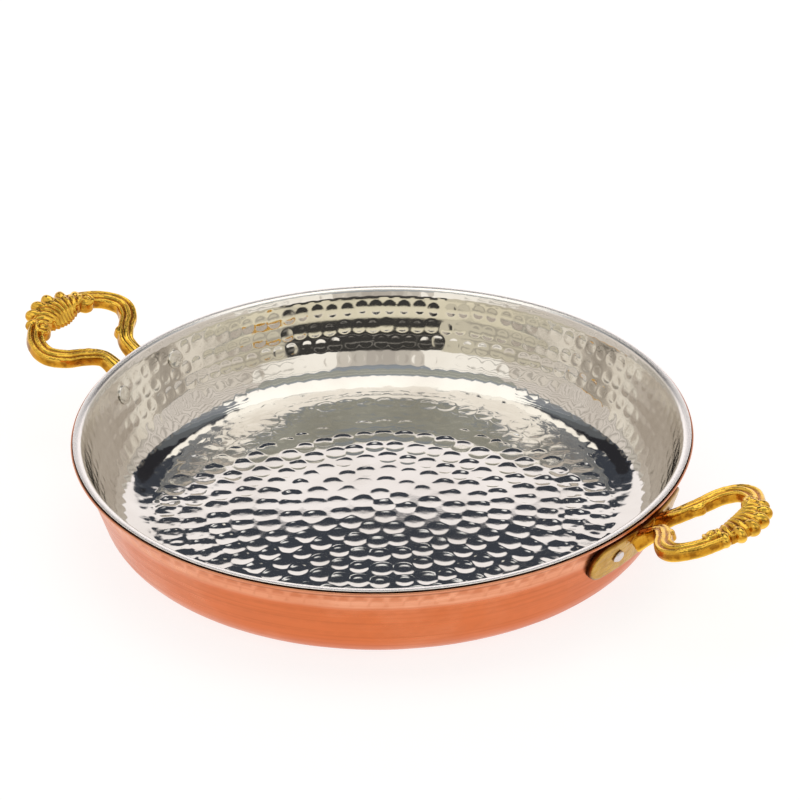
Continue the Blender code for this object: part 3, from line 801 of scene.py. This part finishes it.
def add_lathe(shape, line, sides, place=(0.0, 0.0, 0.0)):
    """Add a turned body to a bmesh, from pairs of radius and height."""
    loft(shape, [[(place[0] + radius * x, place[1] + radius * y, place[2] + height)
                  for x, y in circle(sides)] for radius, height in line])


def add_ball(shape, place, size, columns, rows):
    bmesh.ops.create_uvsphere(shape, u_segments=columns, v_segments=rows, radius=1.0,
                              matrix=place @ Matrix.Diagonal((*size, 1.0)))


def add_boss(shape, place, radius, height):
    """A round boss with an eased top."""
    line = smooth_values(BOSS_LINE, 4)[1:-1]
    add_lathe(shape, [(radius * out, height / 2 * up) for out, up in line], 32, place)


def circle(sides):
    """Evenly spaced points on a circle of radius one."""
    turns = [2 * pi * step / sides for step in range(sides)]
    return [(cos(turn), sin(turn)) for turn in turns]


def line_frames(points):
    """Place, side and up at each point of a line."""
    for index, point in enumerate(points):
        ahead = points[min(index + 1, len(points) - 1)]
        along = Vector(ahead - points[max(index - 1, 0)]).normalized()
        side = along.cross(Vector((0.0, 0.0, 1.0))).normalized()
        yield Vector(point), side, side.cross(along)


def add_tube(shape, points, radii, sides):
    """A tube with round ends along a line of points."""
    loft(shape, [[place + side * (radius * x) + up * (radius * y) for x, y in circle(sides)]
                 for (place, side, up), radius in zip(line_frames(points), radii)])
    for end in (0, -1):
        add_ball(shape, Matrix.Translation(points[end]), (radii[end],) * 3, 12, 8)


def add_bar(shape, handle):
    """The fluted bar from one root round to the other."""
    half = []
    for out, aside, fall, wide, high, flute in HALF_LOOP:
        half.append((handle.reach * out, handle.half_width * aside, -handle.neck_fall * fall,
                     handle.bar_half_width * wide, handle.bar_height / 2 * high,
                     handle.flute * flute))
    mirrored = [(row[0], -row[1]) + row[2:] for row in half[:-1]]
    stations = smooth_values(half + mirrored[::-1], 10)
    section = smooth_values(BAR_SECTION, 3)
    outline = np.concatenate([section, section[-2:0:-1] * (-1.0, 1.0, 1.0)])
    rings = []
    frames = line_frames(stations[:, :3])
    for (place, side, up), (wide, high, flute) in zip(frames, stations[:, 3:]):
        rings.append([place + side * (wide * x) + up * (high * y - flute * dip)
                      for x, y, dip in outline])
    loft(shape, rings)


def fan_origin(handle):
    return Vector((handle.reach - SHELL_INSET, 0.0, 0.0))


def add_shell(shape, handle):
    """The fan of ridges with its scalloped skirt."""
    half_span = GADROON_PITCH * GADROONS / 2
    steps = SHELL_RIDGES * 12
    ridge_pitch = 2.0 * half_span / SHELL_RIDGES
    profile = smooth_values(SHELL_PROFILE, 5)
    origin = fan_origin(handle)
    up = Vector((0.0, 0.0, 1.0))
    rings = []
    for step in range(steps + 1):
        turn = half_span * (2.0 * step / steps - 1.0)
        ray = Vector((cos(turn), sin(turn), 0.0))
        tip = SHELL_INNER / cos(turn)
        wave = (1.0 + cos(2 * pi * (turn + half_span) / ridge_pitch)) / 2
        skirt = SKIRT_DEPTH * (1.0 - (turn / half_span) ** 2) - LOBE_DEPTH * wave ** 0.6
        foot = origin + ray * tip - Vector((skirt, 0.0, 0.0))
        ring = [foot - up * SHELL_DEPTH, foot - up * (SHELL_DEPTH * 0.2)]
        for out, high in profile:
            dip = RIDGE_DEPTH * wave * min(1.0, 0.60 + 1.0 * out)
            along = tip + (SHELL_RING - tip) * out
            ring.append(origin + ray * along + up * ((SHELL_CROWN - dip) * high))
        ring.append(origin + ray * SHELL_RING - up * SHELL_DEPTH)
        rings.append(ring)
    loft(shape, rings)


def add_gadroons(shape, handle):
    """Rounded lobes round the outer end of the shell."""
    middle = (GADROONS - 1) / 2
    half_width = SHELL_RING * sin(GADROON_PITCH / 2) * GADROON_WIDTH_SHARE
    for index in range(GADROONS):
        turn = GADROON_PITCH * (index - middle)
        size = 1.0 - 0.12 * (abs(index - middle) / middle) ** 2
        out = SHELL_RING - GADROON_LENGTH * (0.10 + (1.0 - size) / 2)
        place = Matrix.Translation(fan_origin(handle)) @ Matrix.Rotation(turn, 4, 'Z')
        add_ball(shape, place @ Matrix.Translation((out, 0.0, 0.0)),
                 (GADROON_LENGTH / 2 * size, half_width, GADROON_HEIGHT / 2 * size), 24, 16)


def add_scrolls(shape, handle):
    """Two scrolls beside the shell, each a boss with a raised coil and an eye."""
    boss_out, boss_up = np.array(BOSS_LINE[:4]).T
    for hand in (-1, 1):
        centre = Vector((handle.reach * SCROLL_PLACE[0],
                         hand * handle.half_width * SCROLL_PLACE[1], 0.0))
        add_boss(shape, centre, SCROLL_RADIUS, SCROLL_HEIGHT)
        points, radii = [], []
        for t in (step / COIL_STEPS for step in range(COIL_STEPS + 1)):
            radius = SCROLL_RADIUS * (0.84 - 0.50 * t)
            turn = hand * (COIL_START - 2 * pi * COIL_TURNS * t)
            top = float(np.interp(radius / SCROLL_RADIUS, boss_out, boss_up))
            points.append(centre + Vector((radius * cos(turn), radius * sin(turn),
                                           SCROLL_HEIGHT / 2 * top + COIL_WIRE * 0.15)))
            radii.append(COIL_WIRE * (1.0 - 0.30 * t))
        add_tube(shape, points, radii, 12)
        eye = Matrix.Translation(centre + Vector((0.0, 0.0, SCROLL_HEIGHT / 2)))
        add_ball(shape, eye, EYE_SIZE, 16, 10)


def loop_frame(shape, handle):
    """Plane of the loop: X outwards along it, Y sideways, Z square to it."""
    root = shape.height - handle.flange_drop - handle.flange_height * ROOT_DROP_SHARE
    radius = wall_radius(shape, root, -(shape.seat + handle.flange))
    lift = root + handle.neck_fall / cos(handle.tilt)
    return Matrix.Translation((radius, 0.0, lift)) @ Matrix.Rotation(-handle.tilt, 4, 'Y')


def add_flange(body, shape, handle):
    """The curved flange against the wall, as a closed strip with eased edges."""
    end = handle.flange_height / 2
    straight = handle.flange_half - end
    columns = [(straight * step / 12, end) for step in range(13)]
    for step in range(1, 13):
        turn = radians(86.0) * step / 12
        columns.append((straight + end * sin(turn), end * cos(turn)))
    columns = [(-side, half) for side, half in columns[:0:-1]] + columns
    across = 14
    middle = handle.flange_drop + end
    reference = wall_radius(shape, shape.height - handle.flange_drop)

    def place(turn, drop, inset):
        radius = wall_radius(shape, shape.height - drop, inset)
        return (radius * cos(turn), radius * sin(turn), shape.height - drop)

    rings = []
    for side, half in columns:
        turn = side / reference
        waist = max(0.0, cos(pi * side / handle.flange_half)) ** 2
        top = middle - half + FLANGE_WAIST * waist
        bottom = middle + half
        front, back = [], []
        for t in (step / across for step in range(across + 1)):
            drop = top + (bottom - top) * t
            edge = min(t, 1 - t) * (bottom - top)
            eased = FLANGE_EASE ** 2 - max(0.0, FLANGE_EASE - edge) ** 2
            eased = FLANGE_EASE - sqrt(max(0.0, eased))
            front.append(place(turn, drop, -(shape.seat + handle.flange - eased)))
            back.append(place(turn, drop, -shape.seat))
        rings.append(front + back[::-1])
    loft(body, rings)


def make_handle(shape, handle):
    """One casting on the +X side, blended from its forms."""
    ornament = bmesh.new()
    add_bar(ornament, handle)
    add_shell(ornament, handle)
    add_gadroons(ornament, handle)
    add_scrolls(ornament, handle)
    for hand in (-1, 1):
        place = Vector((handle.reach * 0.350, hand * handle.half_width * 0.465,
                        -handle.neck_fall * 0.12))
        add_boss(ornament, place, *NECK_BOSS)
    bmesh.ops.transform(ornament, matrix=loop_frame(shape, handle), verts=ornament.verts)
    add_flange(ornament, shape, handle)
    bmesh.ops.recalc_face_normals(ornament, faces=ornament.faces)
    item = put_bmesh("scroll_handle_right", ornament)
    blend = item.modifiers.new("one_casting", 'REMESH')
    blend.mode = 'VOXEL'
    blend.voxel_size = handle.voxel
    ease = item.modifiers.new("eased", 'SMOOTH')
    ease.factor = 0.5
    ease.iterations = 3
    bpy.context.view_layer.update()
    graph = bpy.context.evaluated_depsgraph_get()
    cast = bpy.data.meshes.new_from_object(item.evaluated_get(graph))
    item.modifiers.clear()
    item.data = cast
    roughen_casting(cast, shape, handle)
    cast.shade_smooth()
    return item


def read_vectors(rows, name, number):
    values = np.empty(number * 3, dtype=np.float32)
    rows.foreach_get(name, values)
    return values.reshape(-1, 3).astype(float)


def roughen_casting(mesh, shape, handle):
    """Fine unevenness of the cast skin, and values for the satin flange and for the painted shade
    in recesses, on the flanks and along the wall.
    """
    number = len(mesh.vertices)
    points = read_vectors(mesh.vertices, "co", number)
    normals = read_vectors(mesh.vertex_normals, "vector", number)
    hollow = surface_hollow(mesh, points, normals)
    bend = waves(points, 420.0, 5) * 0.00009 + waves(points, 1100.0, 6) * 0.00003
    moved = points + normals * bend[:, None]
    mesh.vertices.foreach_set("co", moved.astype(np.float32).ravel())
    mesh.update()
    flat = np.hypot(points[:, 0], points[:, 1])
    out = (flat - wall_radius(shape, points[:, 2])) * cos(shape.lean)
    face = handle.flange + shape.seat
    satin = np.clip((face + 0.0005 - out) / 0.0008, 0.0, 1.0)
    tilt = np.where(points[:, 0] > 0.0, handle.tilt, -handle.tilt)
    level = np.abs(normals[:, 2] * np.cos(tilt) - normals[:, 0] * np.sin(tilt))
    # painted shade in the recesses, read by the brass material
    store_values(mesh, "hollow", hollow)
    store_values(mesh, "satin", satin)
    # painted shade on the faces that stand across the loop, also a little rougher
    store_values(mesh, "shaded_flank", np.clip(1.0 - level / 0.45, 0.0, 1.0) * (1.0 - satin))
    # painted shadow along the flange where it lies close to the wall
    store_values(mesh, "gap_shadow", np.clip((face - 0.0007 - out) / 0.0009, 0.0, 1.0))


def surface_hollow(mesh, points, normals):
    """How hollow the surface is round each vertex, from 0 on a crest to 1 in a recess."""
    edges = np.empty(len(mesh.edges) * 2, dtype=np.int32)
    mesh.edges.foreach_get("vertices", edges)
    ends = edges.reshape(-1, 2).T
    across = points[ends[1]] - points[ends[0]]
    squared = np.maximum(np.linalg.norm(across, axis=1), 1e-7) ** 2
    bend = (across * (normals[ends[1]] - normals[ends[0]])).sum(axis=1) / squared
    total = np.zeros(len(points))
    weight = np.zeros(len(points))
    for end in ends:
        np.add.at(total, end, bend)
        np.add.at(weight, end, 1.0)
    weight = np.maximum(weight, 1.0)
    curve = total / weight
    for _ in range(6):
        spread = np.zeros(len(points))
        np.add.at(spread, ends[0], curve[ends[1]])
        np.add.at(spread, ends[1], curve[ends[0]])
        curve = 0.5 * curve + 0.5 * spread / weight
    return np.clip(-curve / 520.0, 0.0, 1.0)


# ---- rivets

SHANK_RADIUS = 0.0021
BUTTON = (0.0027, 0.0014)
BUTTON_LINE = ((0.02, 1.00), (0.50, 0.93), (0.82, 0.66), (1.00, 0.25), (1.00, 0.0))
HEAD = (0.0040, 0.0009)
HEAD_LINE = ((1.00, 0.00), (1.02, 0.40), (0.92, 0.84), (0.62, 1.00), (0.02, 1.04))


def make_rivet(name, shape, handle, facing, hand):
    """A rivet with a peened button outside and a low head inside."""
    level = shape.height - (handle.flange_drop + handle.flange_height * RIVET_DROP_SHARE)
    reference = wall_radius(shape, shape.height - handle.flange_drop)
    turn = facing + hand * handle.flange_half * RIVET_SIDE_SHARE / reference
    tail_face = handle.flange + 2 * shape.seat
    head_face = -(shape.copper + 2 * shape.seat + shape.coat)
    line = [(BUTTON[0] * out, tail_face + BUTTON[1] * up)
            for out, up in smooth_values(BUTTON_LINE, 5)]
    line += [(SHANK_RADIUS, tail_face - 0.0001), (SHANK_RADIUS, head_face + 0.0001)]
    line += [(HEAD[0] * out, head_face - HEAD[1] * up) for out, up in smooth_values(HEAD_LINE, 5)]
    body = bmesh.new()
    add_lathe(body, line, 48)
    bmesh.ops.recalc_face_normals(body, faces=body.faces)
    seed = Vector((facing * 5.0, hand * 7.0, 2.0))
    tinned = [1.0 if vertex.co.z < 0.0 else 0.0 for vertex in body.verts]
    # painted shade: values near the button's foot darken a ring round it
    foot_shade_and_tone = []
    for vertex in body.verts:
        spot = vertex.co
        if spot.z > tail_face:
            uneven = noise.noise(spot * 520.0 + seed)
            wide = noise.noise(Vector((spot.x, spot.y, 0.0)) * 300.0 + seed)
            spot.z += 0.00022 * uneven * (spot.z - tail_face) / BUTTON[1]
            spot.x *= 1.0 + 0.16 * wide
            spot.y *= 1.0 + 0.08 * uneven
        elif spot.z < head_face:
            spot.z += 0.00012 * noise.noise(spot * 420.0 + seed)
        near_foot = max(0.0, 1.0 - abs(spot.z - tail_face) / 0.0004)
        foot_shade_and_tone.append(near_foot * 0.8 if hypot(spot.x, spot.y) > 0.0022 else 0.0)
    outward = Vector((cos(shape.lean) * cos(turn), cos(shape.lean) * sin(turn),
                      -sin(shape.lean)))
    around = Vector((-sin(turn), cos(turn), 0.0))
    place = Matrix((around, outward.cross(around), outward)).transposed().to_4x4()
    radius = wall_radius(shape, level)
    place.translation = (radius * cos(turn), radius * sin(turn), level)
    bmesh.ops.transform(body, matrix=place, verts=body.verts)
    item = put_bmesh(name, body)
    store_values(item.data, "hollow", foot_shade_and_tone)
    store_values(item.data, "tinned", tinned)
    item.data.shade_smooth()
    return item


# ---- operators

def dress(piece, material, slot, *nodes):
    piece.data.materials.clear()
    piece.data.materials.append(material)
    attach(piece, "root")
    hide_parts(*nodes)


class PAN_OT_tin_lining(bpy.types.Operator):
    """Make the hammered tin lining"""

    bl_idname = "copper_pan.tin_lining"
    bl_label = "Tin lining"

    def execute(self, context):
        scene = context.scene
        piece = make_lining(scene.pan_shape, scene.pan_marks)
        dress(piece, tin_finish(scene.pan_finishes), "tin", "tin_lining")
        return {'FINISHED'}


class PAN_OT_copper_bowl(bpy.types.Operator):
    """Make the copper bowl with its softly hammered outside"""

    bl_idname = "copper_pan.copper_bowl"
    bl_label = "Copper bowl"

    def execute(self, context):
        scene = context.scene
        piece = make_bowl(scene.pan_shape, scene.pan_marks)
        dress(piece, copper_finish(scene.pan_finishes), "copper", "copper_bowl")
        return {'FINISHED'}


class PAN_OT_handles(bpy.types.Operator):
    """Cast both scroll handles"""

    bl_idname = "copper_pan.handles"
    bl_label = "Scroll handles"

    def execute(self, context):
        scene = context.scene
        right = make_handle(scene.pan_shape, scene.pan_handle)
        left = put_object("scroll_handle_left", right.data.copy())
        left.data.transform(Matrix.Rotation(pi, 4, 'Z'))
        material = brass_finish(scene.pan_finishes)
        dress(right, material, "cast_brass", "handle_right")
        dress(left, material, "cast_brass", "handle_left")
        return {'FINISHED'}


class PAN_OT_rivets(bpy.types.Operator):
    """Set the four rivets"""

    bl_idname = "copper_pan.rivets"
    bl_label = "Rivets"

    def execute(self, context):
        scene = context.scene
        material = rivet_finish(scene.pan_finishes)
        for side, facing in (("right", 0.0), ("left", pi)):
            for place, hand in (("front", -1), ("back", 1)):
                name = side + "_" + place
                piece = make_rivet("peened_rivet_" + name, scene.pan_shape, scene.pan_handle,
                                   facing, hand * cos(facing))
                dress(piece, material, "rivet_metal", "rivet_" + name)
        return {'FINISHED'}

# ---- studio

# bands of the sky from the far horizon over the pan to the near one, in degrees
SKY = (
    (0.0, (1.10, 1.05, 1.05)),
    (30.8, (1.10, 1.05, 1.05)),
    (31.4, (0.050, 0.058, 0.075)),
    (56.0, (0.055, 0.060, 0.075)),
    (59.0, (1.35, 1.33, 1.25)),
    (96.0, (1.30, 1.26, 1.20)),
    (98.5, (0.33, 0.37, 0.42)),
    (104.0, (0.40, 0.41, 0.37)),
    (117.0, (0.40, 0.41, 0.37)),
    (122.0, (0.33, 0.37, 0.42)),
    (133.0, (0.30, 0.33, 0.36)),
    (137.0, (0.56, 0.52, 0.47)),
    (157.0, (0.54, 0.50, 0.45)),
    (160.0, (0.050, 0.048, 0.045)),
    (171.9, (0.050, 0.048, 0.045)),
    (172.6, (0.84, 0.78, 0.60)),
    (180.0, (0.90, 0.83, 0.66)),
)
# side panels on both sides: from and to across, from and to in degrees along the sky, colour
PANELS = (
    (0.56, 2.00, -40.0, 31.0, (0.62, 0.58, 0.52)),
    (0.21, 0.58, 34.0, 47.0, (0.028, 0.028, 0.033)),
    (0.24, 0.60, 47.0, 55.0, (0.13, 0.14, 0.15)),
    (0.26, 0.62, 55.0, 62.0, (0.20, 0.22, 0.24)),
    (0.33, 0.62, 62.0, 70.0, (0.25, 0.27, 0.30)),
    (0.42, 0.62, 70.0, 79.0, (0.30, 0.32, 0.35)),
    (0.11, 0.21, 40.0, 58.0, (1.20, 1.15, 1.05)),
    (0.56, 0.62, 79.0, 96.0, (0.30, 0.32, 0.33)),
    (0.27, 0.74, 122.0, 160.5, (1.10, 1.06, 0.98)),
    (0.19, 0.27, 134.0, 158.5, (0.74, 0.69, 0.62)),
    (0.10, 0.19, 134.0, 158.5, (0.64, 0.60, 0.54)),
    (0.62, 2.00, 31.0, 122.0, (0.80, 0.74, 0.68)),
    (0.74, 2.00, 122.0, 160.5, (0.80, 0.74, 0.66)),
    (0.00, 0.60, 105.0, 105.8, (0.70, 0.70, 0.62)),
    (0.00, 0.60, 113.0, 113.7, (0.62, 0.62, 0.54)),
    (0.00, 0.60, 127.5, 128.3, (0.45, 0.47, 0.49)),
    (0.00, 0.43, 165.4, 166.0, (0.36, 0.34, 0.31)),
    (0.00, 0.024, 37.0, 40.0, (1.10, 1.10, 1.10)),
)
# what stands beside the dark band under the near horizon: its ends across, band and colour
DARK_SPAN = (-0.41, 0.60, 158.5, 172.3, (0.68, 0.63, 0.50))
SOFT_ACROSS = 0.012
SOFT_ALONG = 0.0018
RIPPLE_FROM = 0.50
RIPPLE_DEGREES = 7.5
RIPPLE_SLANT = 14.0
RIPPLE_STRENGTH = 0.62
RIPPLE_COLOUR = (0.30, 0.28, 0.25)
FLOOR_HALF = 4.0


class PAN_OT_studio(bpy.types.Operator):
    """Set the camera, the pale floor and the soft light"""

    bl_idname = "copper_pan.studio"
    bl_label = "Studio"

    def execute(self, context):
        scene = context.scene
        studio = scene.pan_studio
        place_camera(scene, studio)
        place_floor(scene, studio)
        light_sky(scene, studio)
        scene.view_settings.view_transform = 'Standard'
        return {'FINISHED'}


def place_camera(scene, studio):
    camera = put_object("camera", bpy.data.cameras.new("camera"))
    camera.data.lens = studio.lens
    camera.data.sensor_width = 36.0
    turn = Matrix.Rotation(studio.swing, 3, 'Z')
    back = Vector((0.0, -cos(studio.elevation), sin(studio.elevation)))
    eye = turn @ (back * studio.distance) + Vector((0.0, 0.0, RIM_TOP))
    aim = turn @ Vector((studio.aim_right, studio.aim_back, 0.0)) + Vector((0.0, 0.0, RIM_TOP))
    backward = (eye - aim).normalized()
    right = Vector((0.0, 0.0, 1.0)).cross(backward).normalized()
    up = backward.cross(right)
    lean = Matrix.Rotation(studio.roll, 3, backward)
    axes = Matrix((lean @ right, lean @ up, backward)).transposed().to_4x4()
    axes.translation = eye
    camera.matrix_world = axes
    scene.camera = camera


def place_floor(scene, studio):
    signs = ((-1, -1), (1, -1), (1, 1), (-1, 1))
    corners = [(FLOOR_HALF * x, FLOOR_HALF * y, 0.0) for x, y in signs]
    mesh = bpy.data.meshes.new("floor")
    mesh.from_pydata(corners, [], [(0, 1, 2, 3)])
    floor = put_object("floor", mesh)
    pale = Surface("pale_floor", 0.0)
    grain = pale.remap(pale.noise(30.0, 3.0), 0.3, 0.7, 0.0, 0.06)
    base = pale.mix(grain, studio.floor, darker(studio.floor, 0.9))
    pale.shader.inputs["Emission Color"].default_value = (1.0, 1.0, 1.0, 1.0)
    pale.shader.inputs["Emission Strength"].default_value = studio.floor_glow
    mesh.materials.append(pale.finish(base, 0.75))


def light_sky(scene, studio):
    """A sky in soft bands that run across the view, with panels and ripples at both sides."""
    world = bpy.data.worlds.new("studio_surround")
    world.use_nodes = True
    scene.world = world
    graph = Graph(world.node_tree)
    background = world.node_tree.nodes["Background"]
    direction = graph.node('ShaderNodeTexCoord').outputs["Generated"]
    turned = graph.node('ShaderNodeVectorRotate', {"Vector": direction, "Angle": -studio.swing},
                        rotation_type='Z_AXIS').outputs["Vector"]
    parts = graph.node('ShaderNodeSeparateXYZ', {0: turned}).outputs
    place = graph.multiply(graph.work_out('ARCTAN2', parts["Z"], parts["Y"]), 1.0 / pi)
    aside = graph.work_out('ABSOLUTE', parts["X"])
    ramp = graph.node('ShaderNodeValToRGB', {0: place})
    points = ramp.color_ramp.elements
    while len(points) < len(SKY):
        points.new(0.5)
    for point, (level, tint) in zip(points, SKY):
        point.position = level / 180.0
        point.color = rgba(tint)

    def between(value, low, high, soft):
        rising = graph.remap(value, low - soft, low + soft, 0.0, 1.0)
        falling = graph.remap(value, high - soft, high + soft, 1.0, 0.0)
        return graph.multiply(rising, falling)

    def lay(sky, across, left, right, low, high, tint):
        inside = graph.multiply(between(across, left, right, SOFT_ACROSS),
                                between(place, low / 180.0, high / 180.0, SOFT_ALONG))
        return graph.mix(inside, sky, tint)

    sky = ramp.outputs["Color"]
    for left, right, *rest in PANELS:
        sky = lay(sky, aside, left if left > 0.0 else -1.0, right, *rest)
    left, right, *rest = DARK_SPAN
    sky = lay(sky, parts["X"], right, 2.0, *rest)
    sky = lay(sky, parts["X"], -2.0, left, *rest)
    turns = graph.add(graph.multiply(place, 2.0 * pi * 180.0 / RIPPLE_DEGREES),
                      graph.multiply(aside, RIPPLE_SLANT))
    ripple = graph.remap(graph.work_out('SINE', turns), 0.2, 0.9, 0.0, RIPPLE_STRENGTH)
    ripple = graph.multiply(ripple, graph.remap(aside, RIPPLE_FROM, RIPPLE_FROM + 0.08, 0.0, 1.0))
    sky = graph.mix(ripple, sky, RIPPLE_COLOUR)
    graph.tree.links.new(sky, background.inputs["Color"])
    background.inputs["Strength"].default_value = 1.0


# ---- panel and registration

class PAN_PT_panel(bpy.types.Panel):
    """Copper pan"""

    bl_idname = "PAN_PT_panel"
    bl_label = "Copper Pan"
    bl_space_type = 'VIEW_3D'
    bl_region_type = 'UI'
    bl_category = "Copper Pan"

    def draw(self, context):
        column = self.layout.column()
        for operator in OPERATORS:
            column.operator(operator.bl_idname)


GROUPS = {"pan_shape": PanShape, "pan_marks": HammerMarks, "pan_handle": HandleShape,
          "pan_finishes": Finishes, "pan_studio": Studio}
OPERATORS = (PAN_OT_studio, PAN_OT_tin_lining, PAN_OT_copper_bowl, PAN_OT_handles, PAN_OT_rivets)


def register():
    for group in GROUPS.values():
        bpy.utils.register_class(group)
    for operator in OPERATORS:
        bpy.utils.register_class(operator)
    bpy.utils.register_class(PAN_PT_panel)
    for name, group in GROUPS.items():
        setattr(bpy.types.Scene, name, PointerProperty(type=group))


def unregister():
    for name in GROUPS:
        delattr(bpy.types.Scene, name)
    for made in (PAN_PT_panel,) + OPERATORS + tuple(GROUPS.values()):
        bpy.utils.unregister_class(made)


def main():
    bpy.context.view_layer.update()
    register()
    bpy.ops.copper_pan.studio()
    bpy.ops.copper_pan.tin_lining()
    bpy.ops.copper_pan.copper_bowl()
    bpy.ops.copper_pan.handles()
    bpy.ops.copper_pan.rivets()


if __name__ == "__main__":
    main()
